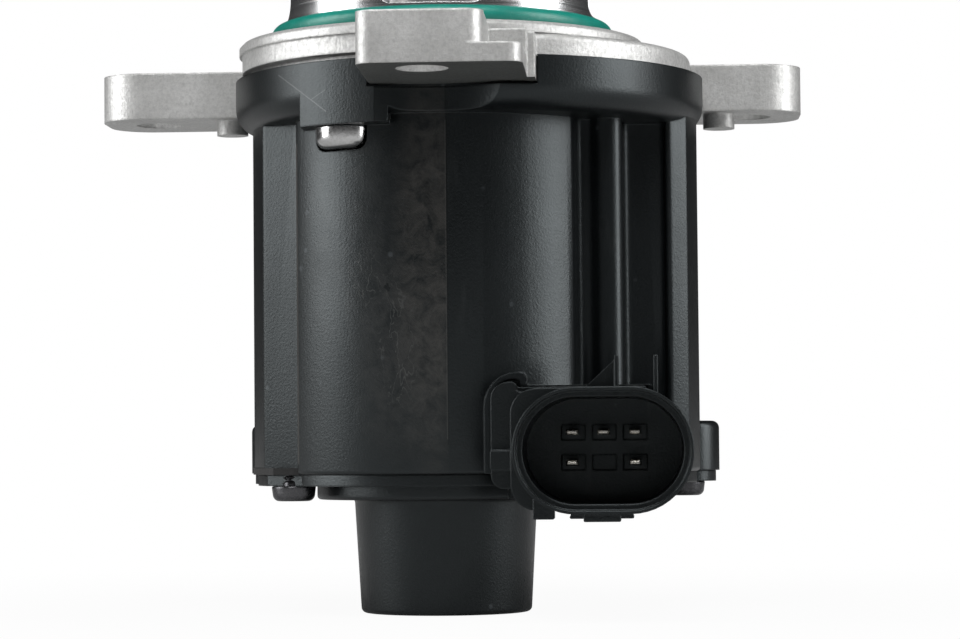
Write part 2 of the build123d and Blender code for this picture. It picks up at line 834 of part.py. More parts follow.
def actuator_housing():
    shell = upright(housing_plan(0), housing_bottom, joint_z)
    shell = fillet(shell.faces().sort_by(Axis.Z)[0].outer_wire().edges(), bottom_round)
    collar = rod(collar_radius, collar_bottom, joint_z, body_axis)
    collar = fillet(collar.edges().filter_by(GeomType.CIRCLE).sort_by(Axis.Z)[0], collar_round)
    shell += collar
    for place in collar_screws_at:
        lug = rod(collar_lug_radius, collar_lug_bottom, joint_z, place)
        shell += fillet(lug.edges().filter_by(GeomType.CIRCLE).sort_by(Axis.Z)[0], 0.8)
        shell += rod(m4_head_radius + head_niche + 1.6, collar_lug_bottom - m4_head_height - 3, joint_z, place) & rod(
            main_radius - 0.5, housing_bottom, joint_z, body_axis
        ) & upright(housing_plan(0.2), housing_bottom, joint_z)
    for place in cover_lugs_at:
        lug = rod(cover_lug_radius, housing_bottom, cover_lug_top, place)
        shell += fillet(lug.edges().filter_by(GeomType.CIRCLE).sort_by(Axis.Z)[-1], 1.0)
    nose = rounded((nose_left, nose_right), (housing_bottom - 6, nose_top), nose_corner)
    nose = facing_front(nose, body_axis[1], nose_front_y) & block((0, 60), (-60, 60), (housing_bottom, 0))
    shell += nose
    shell -= upright(housing_plan(wall), housing_bottom - 1, joint_z + 1)
    for place in collar_screws_at:
        pocket = rod(m4_head_radius + head_niche + 1.6, collar_lug_bottom - m4_head_height - 3, joint_z, place)
        shell += pocket & upright(housing_plan(wall - 0.1), housing_bottom, joint_z)
    for place in plate_boss_places:
        boss = rod(plate_boss_radius, plate_top, plate_top + plate_boss_height, place)
        shell += boss & upright(housing_plan(0.5), housing_bottom, joint_z)
    for place in cover_screws_at:
        boss = rod(corner_boss_radius, housing_bottom, housing_bottom + m3_length + 4, place)
        shell += boss & upright(housing_plan(0.5), housing_bottom, joint_z)
    for place in plate_boss_places:
        shell -= rod(m25_radius + slip, plate_top - 1, plate_top + 6.5, place)
    for place in collar_screws_at:
        shell -= rod(m4_radius + clearance, collar_lug_bottom - 1, joint_z + 1, place)
        niche = rod(m4_head_radius + head_niche, collar_lug_bottom - m4_head_height - 1.2, collar_lug_bottom, place)
        shell -= niche
    for place in cover_screws_at:
        shell -= rod(m3_radius + slip, housing_bottom - 1, housing_bottom + m3_length, place)
    shell -= block((cutout_left, cutout_right), (-60, cutout_back), (cutout_z, joint_z + 1))
    shell -= rod(driver_radius, collar_lug_bottom - 1, joint_z + 1, (0, -front_ear_reach))
    shell -= seal_band(collar_screws_at, m4_radius, joint_z - seal_depth, joint_z + 1)
    shell -= seal_band(cover_lugs_at, m3_radius, housing_bottom - 1, housing_bottom + seal_depth)
    shell -= facing_front(
        obround(plug_width + 2 * clearance, plug_height + 2 * clearance), plug_back_y + clearance, plug_rim_y
    )
    return shell - insert_window()


def insert_window():
    return block(
        (insert_left - clearance, insert_right + clearance),
        (-40, board_back_y + 1.5),
        (housing_bottom - 2, insert_top + clearance),
    )


def housing_seal():
    return seal_band(collar_screws_at, m4_radius, joint_z - seal_depth, joint_z, play=0.02)


def cover_seal():
    seal = seal_band(cover_lugs_at, m3_radius, housing_bottom, housing_bottom + seal_depth, play=0.02)
    return seal - insert_window()


def collar_screws():
    return [
        pan_screw(place, collar_lug_bottom, m4_end, m4_radius, m4_head_radius, m4_head_height)
        for place in collar_screws_at
    ]


# Bottom cover

def bottom_cover():
    outline = housing_plan(cover_edge)
    for place in cover_lugs_at:
        outline += Pos(*place) * Circle(cover_lug_radius - cover_edge)
    cover = upright(outline, cover_bottom, housing_bottom)
    cover += plan_band(wall + clearance, rim_width, housing_bottom - 0.1, housing_bottom + rim_height)
    cover += turned(
        [
            (0, tube_bottom),
            (tube_end_radius - 0.6, tube_bottom),
            (tube_end_radius, tube_bottom + 0.6),
            (tube_top_radius, cover_ring_bottom),
            (cover_ring_radius - 0.4, cover_ring_bottom),
            (cover_ring_radius, cover_ring_bottom + 0.4),
            (cover_ring_radius, cover_bottom + 0.2),
            (tower_radius, housing_bottom),
            (tower_radius, tower_top),
            (0, tower_top),
        ]
    )
    cover += rod(post_radius, housing_bottom - 0.1, axle_bottom + 3.0, idler_place)
    cover -= rod(tube_bore, tube_bottom + tube_floor, tower_top + 1)
    cover -= rod(axle_radius + slip, axle_bottom - 0.5, axle_bottom + 4, idler_place)
    for place in cover_screws_at:
        cover -= rod(m3_radius + clearance, cover_bottom - 1, housing_bottom + rim_height + 1, place)
        cover -= rod(corner_boss_radius + clearance, housing_bottom, housing_bottom + rim_height + 1, place)
    shelf = tower_radius + 0.4
    room = block(
        (insert_left - clearance, plug_x + plug_width),
        (-40, insert_back_y + clearance),
        (tube_bottom, housing_bottom + rim_height + 1),
    )
    room += block(
        (insert_left - clearance, insert_right + clearance),
        (-40, board_back_y + 1.5),
        (housing_bottom, housing_bottom + rim_height + 1),
    )
    room -= rod(shelf, tube_bottom - 1, housing_bottom + 8)
    cover -= room
    return cover


def cover_screws():
    return [
        pan_screw(place, cover_bottom, housing_bottom + m3_length - 0.6, m3_radius, m3_head_radius, m3_head_height)
        for place in cover_screws_at
    ]


# Connector

def obround(width, height):
    return Pos(plug_x, plug_z) * SlotOverall(width, height)


def connector_insert():
    half = plug_width / 2
    tall = plug_height / 2
    flange = rounded(
        (nose_left + flange_edge, nose_right + flange_edge), (insert_bottom, nose_top - flange_edge), nose_corner
    )
    insert = facing_front(flange, nose_front_y, plate_back_y)
    plate = rounded((plug_x - half + 0.3, plug_x + half), (plug_z - tall + 0.4, plug_z + tall), 3.0)
    insert += facing_front(plate, plate_back_y + 0.1, plate_front_y)
    insert += facing_front(obround(plug_width, plug_height), plate_front_y + 0.1, plug_rim_y)
    insert += facing_front(obround(plug_width, plug_height), plug_back_y, plate_back_y)
    insert += block((insert_left, insert_right), (nose_front_y - 0.1, insert_back_y), (housing_bottom, insert_top))
    latch = Pos(plug_x + 0.3, plug_z - tall - latch_drop / 2 + 0.2) * Trapezoid(latch_width, latch_drop + 0.4, 110)
    insert += facing_front(latch, plate_front_y + 0.1, plug_rim_y + 0.8)
    tab = rounded((plug_x - half - 1.8, plug_x - half + 1), (plug_z - 2.6, plug_z - 0.2), 0.3)
    insert += facing_front(tab, plate_back_y + 0.1, plate_front_y + 0.6)
    foot = block((13.5, 16.2), (-30.5, -26.5), (plug_z - tall - 0.3, plug_z - tall + 2))
    insert += foot
    for x in rib_places:
        rib = block(
            (x - rib_thickness / 2, x + rib_thickness / 2),
            (plate_front_y - 1.5, nose_front_y),
            (plug_z + tall - 1.2, plug_z + tall + rib_height),
        )
        insert += rib
    cavity = obround(plug_width - 2 * plug_wall, plug_height - 2 * plug_wall)
    insert -= facing_front(cavity, plug_floor_y, plug_rim_y - 1)
    for place in pin_places + [empty_place]:
        recess = Pos(*place) * Rectangle(pin_recess_width, pin_recess_height)
        insert -= facing_front(recess, plug_floor_y + 1.2, plug_floor_y - 1)
    for place in pin_places:
        slot = Pos(*place) * Rectangle(pin_width + 2 * slip, pin_thickness + 2 * slip)
        insert -= facing_front(slot, insert_back_y + 1, plug_floor_y - 1)
    insert -= rod(cover_ring_radius + clearance, tube_bottom, cover_bottom + 0.3)
    return insert


def connector_pins():
    pins = []
    for place in pin_places:
        section = Pos(*place) * Rectangle(pin_width, pin_thickness)
        pin = facing_front(section, board_back_y + 0.8, pin_tip_y)
        pins.append(chamfer(pin.faces().sort_by(Axis.Y)[0].edges(), 0.2))
    return pins


def sensor_board():
    outline = rounded((board_left, board_right), (board_bottom, board_top), 1.0)
    board = facing_front(outline, board_back_y, board_back_y - board_thickness)
    for place in pin_places:
        hole = Pos(*place) * Rectangle(pin_width + 2 * slip, pin_thickness + 2 * slip)
        board -= facing_front(hole, board_back_y + 1, board_back_y - board_thickness - 1)
    return board


def hall_sensor():
    half = hall_width / 2
    body = block(
        (-half, half),
        (board_back_y, board_back_y + hall_thickness),
        (hall_z - hall_height / 2, hall_z + hall_height / 2),
    )
    return chamfer(body.faces().sort_by(Axis.Y)[-1].edges(), 0.25)


makers = {
    "flange_casting": flange_casting,
    "port_sleeve": port_sleeve,
    "valve_seat_ring": valve_seat_ring,
    "flange_o_ring": lambda: seal_ring(flange_seal_groove + seal_section, pilot_height + seal_section, seal_section),
    "port_o_ring": lambda: seal_ring(port_seal_groove + port_seal_section, port_seal_z, port_seal_section),
    "stem_bush": stem_bush,
    "stem_seal": stem_seal,
    "seal_retainer": seal_retainer,
    "valve_disc": valve_disc,
    "valve_stem": valve_stem,
    "spring_retainer": spring_retainer,
    "retainer_clip": retainer_clip,
    "return_spring": return_spring,
    "spindle": spindle,
    "magnet_carrier": magnet_carrier,
    "sensor_magnet": sensor_magnet,
    "drive_gear": drive_gear,
    "spindle_nut": spindle_nut,
    "drive_bearings": drive_bearings,
    "idler_gear": idler_gear,
    "idler_axle": idler_axle,
    "gear_plate": gear_plate,
    "gear_plate_screws": plate_screws,
    "motor_can": motor_can,
    "motor_end_cap": motor_end_cap,
    "motor_magnets": motor_magnets,
    "motor_brushes": motor_brushes,
    "motor_bushes": motor_bushes,
    "motor_screws": motor_screws,
    "armature_core": armature_core,
    "motor_windings": motor_windings,
    "commutator": commutator,
    "motor_shaft": motor_shaft,
    "motor_pinion": motor_pinion,
    "actuator_housing": actuator_housing,
    "housing_seal": housing_seal,
    "collar_screws": collar_screws,
    "bottom_cover": bottom_cover,
    "cover_seal": cover_seal,
    "cover_screws": cover_screws,
    "connector_insert": connector_insert,
    "connector_pins": connector_pins,
    "sensor_board": sensor_board,
    "hall_sensor": hall_sensor,
}

os.makedirs("parts", exist_ok=True)
for name, maker in makers.items():
    shape = maker()
    if isinstance(shape, list):
        shape = Compound(children=shape)
    export_step(shape, f"parts/{name}.step")
    print(name, round(shape.volume, 2))
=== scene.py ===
import json
import math

import bmesh
import bpy
from mathutils import Matrix, Vector


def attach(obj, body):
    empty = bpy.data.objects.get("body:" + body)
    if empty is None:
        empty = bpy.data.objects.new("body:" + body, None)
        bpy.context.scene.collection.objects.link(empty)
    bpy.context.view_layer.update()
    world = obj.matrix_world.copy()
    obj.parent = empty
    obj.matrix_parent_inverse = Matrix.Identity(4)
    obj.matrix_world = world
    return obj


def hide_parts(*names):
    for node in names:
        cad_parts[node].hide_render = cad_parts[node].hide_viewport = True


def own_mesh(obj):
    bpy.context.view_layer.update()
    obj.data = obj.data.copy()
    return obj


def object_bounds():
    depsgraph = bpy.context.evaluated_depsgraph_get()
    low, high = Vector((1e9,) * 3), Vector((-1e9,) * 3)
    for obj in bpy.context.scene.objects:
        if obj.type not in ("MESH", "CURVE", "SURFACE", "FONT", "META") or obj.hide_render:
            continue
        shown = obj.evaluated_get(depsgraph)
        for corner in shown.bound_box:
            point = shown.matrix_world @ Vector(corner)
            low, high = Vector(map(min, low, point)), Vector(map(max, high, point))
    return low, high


# Electric exhaust gas recirculation valve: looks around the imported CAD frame.
# Everything is in metres in the CAD frame: origin on the mounting face, +Z to the gas end, -Y to the front ear.

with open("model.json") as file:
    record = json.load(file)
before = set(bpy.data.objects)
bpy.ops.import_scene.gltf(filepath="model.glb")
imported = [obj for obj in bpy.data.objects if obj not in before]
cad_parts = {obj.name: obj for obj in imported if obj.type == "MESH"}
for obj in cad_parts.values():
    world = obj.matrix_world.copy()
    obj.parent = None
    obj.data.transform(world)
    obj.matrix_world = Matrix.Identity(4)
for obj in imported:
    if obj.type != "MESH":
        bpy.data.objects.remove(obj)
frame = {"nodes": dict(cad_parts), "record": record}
cad = frame["nodes"]
cadLow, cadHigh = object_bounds()
mm = 0.001
print("frame loaded,", len(cad), "nodes")


# Node trees of the finishes. Each takes its own look: colours are linear, scales are per metre, depths in metres

def startFinish(name):
    finish = bpy.data.materials.new(name)
    finish.use_nodes = True
    tree = finish.node_tree
    for old in list(tree.nodes):
        tree.nodes.remove(old)
    out = tree.nodes.new("ShaderNodeOutputMaterial")
    coat = tree.nodes.new("ShaderNodeBsdfPrincipled")
    tree.links.new(coat.outputs["BSDF"], out.inputs["Surface"])
    where = tree.nodes.new("ShaderNodeTexCoord").outputs["Object"]
    return finish, tree, coat, where


def stretched(tree, where, scale, turn=(0, 0, 0)):
    spot = tree.nodes.new("ShaderNodeMapping")
    spot.inputs["Scale"].default_value = scale
    spot.inputs["Rotation"].default_value = turn
    tree.links.new(where, spot.inputs["Vector"])
    return spot.outputs["Vector"]


def grain(tree, where, scale, detail=3.0, rough=0.55, bend=0.0):
    noise = tree.nodes.new("ShaderNodeTexNoise")
    noise.inputs["Scale"].default_value = scale
    noise.inputs["Detail"].default_value = detail
    noise.inputs["Roughness"].default_value = rough
    noise.inputs["Distortion"].default_value = bend
    tree.links.new(where, noise.inputs["Vector"])
    return noise.outputs["Fac"]


def cells(tree, where, scale):
    spots = tree.nodes.new("ShaderNodeTexVoronoi")
    spots.inputs["Scale"].default_value = scale
    tree.links.new(where, spots.inputs["Vector"])
    return spots.outputs["Distance"]


def ramp(tree, value, low, high, first=0.0, last=1.0):
    span = tree.nodes.new("ShaderNodeMapRange")
    span.inputs["From Min"].default_value = low
    span.inputs["From Max"].default_value = high
    span.inputs["To Min"].default_value = first
    span.inputs["To Max"].default_value = last
    tree.links.new(value, span.inputs["Value"])
    return span.outputs["Result"]


def sums(tree, kind, one, two):
    step = tree.nodes.new("ShaderNodeMath")
    step.operation = kind
    for socket, value in zip(step.inputs, (one, two)):
        if isinstance(value, (int, float)):
            socket.default_value = value
        else:
            tree.links.new(value, socket)
    return step.outputs["Value"]


def product(tree, first, *others):
    for other in others:
        first = sums(tree, "MULTIPLY", first, other)
    return first


def absolute(tree, value):
    return sums(tree, "ABSOLUTE", value, 0.0)


def lengthOf(tree, where):
    reach = tree.nodes.new("ShaderNodeVectorMath")
    reach.operation = "LENGTH"
    tree.links.new(where, reach.inputs[0])
    return reach.outputs["Value"]


def between(tree, share, one, two):
    blend = tree.nodes.new("ShaderNodeMix")
    blend.data_type = "RGBA"
    tree.links.new(share, blend.inputs[0])
    for socket, value in ((blend.inputs[6], one), (blend.inputs[7], two)):
        if isinstance(value, tuple):
            socket.default_value = (*value, 1.0)
        else:
            tree.links.new(value, socket)
    return blend.outputs[2]


def relief(tree, coat, height, depth, strength=1.0, edge=0.0):
    bump = tree.nodes.new("ShaderNodeBump")
    bump.inputs["Distance"].default_value = depth
    bump.inputs["Strength"].default_value = strength
    tree.links.new(height, bump.inputs["Height"])
    if edge:
        soft = tree.nodes.new("ShaderNodeBevel")
        soft.samples = 4
        soft.inputs["Radius"].default_value = edge
        tree.links.new(soft.outputs["Normal"], bump.inputs["Normal"])
    tree.links.new(bump.outputs["Normal"], coat.inputs["Normal"])


def setSockets(coat, **values):
    names = {"metal": "Metallic", "rough": "Roughness", "gloss": "Specular IOR Level", "tint": "Specular Tint"}
    for name, value in values.items():
        coat.inputs[names[name]].default_value = (*value, 1.0) if isinstance(value, tuple) else value


def axesOf(tree, where):
    split = tree.nodes.new("ShaderNodeSeparateXYZ")
    tree.links.new(where, split.inputs[0])
    return split.outputs["X"], split.outputs["Y"], split.outputs["Z"]


def localPlace(tree, where, spot, turn, scale=(1.0, 1.0, 1.0)):
    # Coordinates from a spot in X and Z millimetres, with X turned along the front
    place = tree.nodes.new("ShaderNodeMapping")
    place.vector_type = "TEXTURE"
    place.inputs["Location"].default_value = (spot[0] * mm, 0.0, spot[1] * mm)
    place.inputs["Rotation"].default_value = (0.0, -turn, 0.0)
    place.inputs["Scale"].default_value = scale
    tree.links.new(where, place.inputs["Vector"])
    return place.outputs["Vector"]


def frontShare(tree, where):
    return ramp(tree, axesOf(tree, where)[1], *markArea["front"])


def stroke(tree, where, start, end, width):
    # 1 along a thin line on the front, from start to end in X and Z millimetres
    run, fade = Vector(end) - Vector(start), markArea["lineFade"]
    place = axesOf(tree, localPlace(tree, where, start, math.atan2(run.y, run.x)))
    length, wide = run.length * mm, width * mm
    near = ramp(tree, absolute(tree, place[2]), wide * markArea["lineCore"], wide, 1.0, 0.0)
    begun = ramp(tree, place[0], -fade, fade)
    unended = ramp(tree, place[0], length, length + 2 * fade, 1.0, 0.0)
    return product(tree, near, product(tree, begun, unended), frontShare(tree, where))


def patch(tree, where, centre, reach):
    # 1 in the middle of an upright oval on the front, fading to 0 at its edge
    place = localPlace(tree, where, centre, 0.0, (reach[0] * mm, markArea["deep"], reach[1] * mm))
    inside = ramp(tree, lengthOf(tree, place), markArea["patchCore"], 1.0, 1.0, 0.0)
    return product(tree, inside, frontShare(tree, where))


def housingMarks(tree, where, base, look):
    # Parting line with warmer plastic to its left, brown hazes, wiggly pale scuffs, thin lines and small pits. Two of
    # the pale lines are painted highlights along edges.
    line, blur = look["lineX"] * mm, look["lineBlur"]
    right = ramp(tree, axesOf(tree, where)[0], line - blur, line + blur)
    base = between(tree, product(tree, right, look["rightAmount"]), base, look["rightShade"])
    left = sums(tree, "SUBTRACT", 1.0, right)
    for centre, reach, colour, amount in look["hazes"]:
        spots = ramp(tree, grain(tree, where, *look["hazeGrain"]), *look["hazeRange"])
        share = product(tree, patch(tree, where, centre, reach), spots, left, amount)
        base = between(tree, share, base, colour)
    for centre, reach, scale in look["scuffs"]:
        bend = grain(tree, stretched(tree, where, (scale, scale, scale * 0.45)), 1.0, 3.0, 0.6, 0.5)
        thin = ramp(tree, absolute(tree, sums(tree, "SUBTRACT", bend, 0.5)), *look["scuffRange"])
        base = between(tree, product(tree, thin, patch(tree, where, centre, reach)), base, look["scuffColour"])
    for start, end, width, colour, amount in look["strokes"]:
        base = between(tree, product(tree, stroke(tree, where, start, end, width), amount), base, colour)
    return base


def mouldedPlastic(name, look):
    # Two close shades in soft clouds, spark texture as bump, dust specks and pale rub marks.
    finish, tree, coat, where = startFinish(name)
    clouds = grain(tree, where, look["cloudScale"], 4.0, 0.6, 0.4)
    base = between(tree, ramp(tree, clouds, 0.3, 0.7), look["dark"], look["light"])
    rubPlace = stretched(tree, where, look["rubScale"], (0, 0, look["rubTurn"]))
    rubs = ramp(tree, grain(tree, rubPlace, 1.0, 6.0, 0.65, 0.8), look["rubFrom"], look["rubFrom"] + 0.1)
    rubArea = ramp(tree, grain(tree, where, 45.0, 2.0), 0.5, 0.68)
    base = between(tree, product(tree, rubs, rubArea, look["rubAmount"]), base, look["rub"])
    specks = ramp(tree, cells(tree, where, look["speckScale"]), 0.035, 0.075, 1.0, 0.0)
    base = between(tree, product(tree, specks, look["speckAmount"]), base, look["speck"])
    if "marks" in look:
        base = housingMarks(tree, where, base, look["marks"])
    tree.links.new(base, coat.inputs["Base Color"])
    spark = grain(tree, where, look["sparkScale"], 2.0, 0.6)
    rough = ramp(tree, sums(tree, "ADD", clouds, product(tree, spark, 0.5)), 0.4, 1.1, *look["rough"])
    tree.links.new(rough, coat.inputs["Roughness"])
    setSockets(coat, gloss=look["gloss"], tint=look["tint"])
    relief(tree, coat, spark, look["sparkDepth"], look["sparkStrength"], look["edge"])
    return finish


def blastedMetal(name, look):
    # Bead-blasted casting: sandy grain, pale worn spots, faint upright tool lines on the round sides.
    finish, tree, coat, where = startFinish(name)
    clouds = grain(tree, where, look["cloudScale"], 3.0, 0.6)
    base = between(tree, ramp(tree, clouds, 0.3, 0.7), look["dark"], look["light"])
    sand = grain(tree, where, look["sandScale"], 4.0, 0.75)
    base = between(tree, ramp(tree, sand, 0.4, 0.68, 0.0, look["sandShade"]), base, look["pit"])
    if "under" in look:
        # Painted shade: a darker colour where the casting faces down over the housing at the front, standing in for
        # the shade that falls there.
        facing = tree.nodes.new("ShaderNodeTexCoord").outputs["Normal"]
        place = axesOf(tree, where)
        down = ramp(tree, axesOf(tree, facing)[2], -0.2, -0.75)
        ahead = ramp(tree, place[1], look["underY"] + 2 * mm, look["underY"])
        low = ramp(tree, place[2], mm, 2 * mm, 1.0, 0.0)
        base = between(tree, product(tree, down, ahead, low, look["underAmount"]), base, look["under"])
    tree.links.new(base, coat.inputs["Base Color"])
    lines = grain(tree, stretched(tree, where, look["lineScale"]), 1.0, 2.0, 0.5)
    tree.links.new(ramp(tree, sand, 0.3, 0.7, *look["rough"]), coat.inputs["Roughness"])
    setSockets(coat, metal=look["metal"], gloss=0.5)
    height = sums(tree, "ADD", sand, product(tree, lines, look["lineDepth"]))
    relief(tree, coat, height, look["sandDepth"], look["sandStrength"], look["edge"])
    return finish


def turnedMetal(name, look):
    # Turned or ground metal: fine rings round the Z axis and uneven gloss.
    finish, tree, coat, where = startFinish(name)
    clouds = grain(tree, where, look["cloudScale"], 3.0, 0.6)
    base = between(tree, ramp(tree, clouds, 0.3, 0.7), look["dark"], look["light"])
    rings = grain(tree, stretched(tree, where, look["lineScale"]), 1.0, 3.0, 0.6)
    base = between(tree, ramp(tree, rings, 0.45, 0.75, 0.0, look["lineShade"]), base, look["pit"])
    tree.links.new(base, coat.inputs["Base Color"])
    tree.links.new(ramp(tree, rings, 0.25, 0.75, *look["rough"]), coat.inputs["Roughness"])
    setSockets(coat, metal=1.0)
    relief(tree, coat, rings, look["lineDepth"], look["lineStrength"], look["edge"])
    return finish


def mouldedRubber(name, look):
    finish, tree, coat, where = startFinish(name)
    clouds = grain(tree, where, look["cloudScale"], 4.0, 0.6)
    base = between(tree, ramp(tree, clouds, 0.3, 0.7), look["dark"], look["light"])
    dust = ramp(tree, grain(tree, where, look["dustScale"], 3.0, 0.7), 0.62, 0.75, 0.0, look["dustAmount"])
    base = between(tree, dust, base, look["dust"])
    tree.links.new(base, coat.inputs["Base Color"])
    skin = grain(tree, where, look["skinScale"], 2.0, 0.5)
    tree.links.new(ramp(tree, skin, 0.3, 0.7, *look["rough"]), coat.inputs["Roughness"])
    setSockets(coat, gloss=look["gloss"])
    relief(tree, coat, skin, look["skinDepth"], 0.6, 0.0)
    return finish


plasticLook = {
    "dark": (0.0016, 0.0020, 0.0022),
    "light": (0.0042, 0.0050, 0.0054),
    "rub": (0.050, 0.052, 0.052),
    "speck": (0.10, 0.11, 0.12),
    "cloudScale": 60.0,
    "rubScale": (260.0, 260.0, 80.0),
    "rubTurn": 0.3,
    "rubFrom": 0.56,
    "rubAmount": 0.5,
    "speckScale": 170.0,
    "speckAmount": 0.35,
    "sparkScale": 3200.0,
    "sparkDepth": 0.00005,
    "sparkStrength": 0.55,
    "rough": (0.40, 0.28),
    "gloss": 0.42,
    "tint": (0.90, 1.0, 1.03),
    "edge": 0.0003,
}
# Marks on the front: where the front begins in Y, how lines and patches fade, and a depth that no patch ends in
markArea = {"front": (-0.0120, -0.0125), "lineFade": 0.00005, "lineCore": 0.45, "patchCore": 0.45, "deep": 1000.0}
pitBlack = (0.0005, 0.0005, 0.0005)
# Hazes: centre, reach, colour, amount. Scuffs: centre, reach, scale. Strokes: start, end, width, colour, amount.
housingLook = {
    "lineX": 1.9,
    "lineBlur": 0.00002,
    "rightShade": (0.0018, 0.0026, 0.0032),
    "rightAmount": 0.5,
    "hazeGrain": (420.0, 4.0, 0.7, 0.6),
    "hazeRange": (0.32, 0.62),
    "hazes": [
        ((-0.2, -30.0), (5.6, 30.0), (0.044, 0.041, 0.038), 0.85),
        ((-5.5, -40.0), (6.0, 16.0), (0.030, 0.029, 0.028), 0.5),
        ((-11.0, -24.0), (8.0, 20.0), (0.024, 0.024, 0.024), 0.45),
    ],
    "scuffs": [((-4.5, -40.0), (3.2, 11.0), 380.0), ((-9.0, -31.0), (3.5, 5.0), 500.0)],
    "scuffRange": (0.003, 0.012, 0.6, 0.0),
    "scuffColour": (0.060, 0.060, 0.058),
    "strokes": [
        ((1.9, -4.0), (1.9, -52.7), 0.14, pitBlack, 1.0),
        # Painted highlight: a pale line just left of the parting line, along its edge.
        ((1.76, -11.0), (1.76, -52.0), 0.10, (0.060, 0.058, 0.055), 0.4),
        ((1.9, -52.7), (4.1, -52.7), 0.10, pitBlack, 0.8),
        ((-20.4, -4.2), (-13.6, -9.7), 0.10, (0.12, 0.12, 0.12), 0.5),
        ((-15.7, -8.0), (-13.7, -6.9), 0.08, (0.10, 0.10, 0.10), 0.45),
        # Painted highlight: a pale line down the rounded left corner of the lobe.
        ((-18.45, -13.0), (-18.45, -55.0), 0.22, (0.075, 0.070, 0.064), 0.5),
        ((-6.3, -32.3), (-5.6, -32.7), 0.34, pitBlack, 1.0),
        ((-5.9, -31.9), (-5.7, -32.9), 0.20, pitBlack, 1.0),
        ((6.0, -34.5), (6.4, -35.2), 0.26, pitBlack, 1.0),
        ((12.0, -24.6), (12.1, -24.8), 0.20, pitBlack, 1.0),
    ],
}
castLook = {
    "dark": (0.50, 0.50, 0.49),
    "light": (0.68, 0.68, 0.67),
    "pit": (0.24, 0.24, 0.24),
    "cloudScale": 130.0,
    "sandScale": 1700.0,
    "sandShade": 0.5,
    "lineScale": (2400.0, 2400.0, 90.0),
    "lineDepth": 0.35,
    "rough": (0.36, 0.52),
    "metal": 0.6,
    "sandDepth": 0.00009,
    "sandStrength": 0.7,
    "edge": 0.0004,
}


def turned(name, dark, light, pit, rough, lines=(60.0, 60.0, 5200.0), depth=0.00003, shade=0.3):
    return turnedMetal(name, {
        "dark": dark,
        "light": light,
        "pit": pit,
        "cloudScale": 110.0,
        "lineScale": lines,
        "lineShade": shade,
        "rough": rough,
        "lineDepth": depth,
        "lineStrength": 0.5,
        "edge": 0.0002,
    })


def rubber(name, dark, light, dust, rough):
    return mouldedRubber(name, {
        "dark": dark,
        "light": light,
        "dust": dust,
        "cloudScale": 160.0,
        "dustScale": 1500.0,
        "dustAmount": 0.5,
        "skinScale": 2600.0,
        "skinDepth": 0.00004,
        "rough": rough,
        "gloss": 0.5,
    })


def plastic(name, dark, light, rub, rough):
    own = {"dark": dark, "light": light, "rub": rub, "rough": rough}
    return mouldedPlastic(name, {**plasticLook, **own, "edge": 0.0002, "speckAmount": 0.2, "rubAmount": 0.2})


def blasted(name, **look):
    return blastedMetal(name, {**castLook, **look})


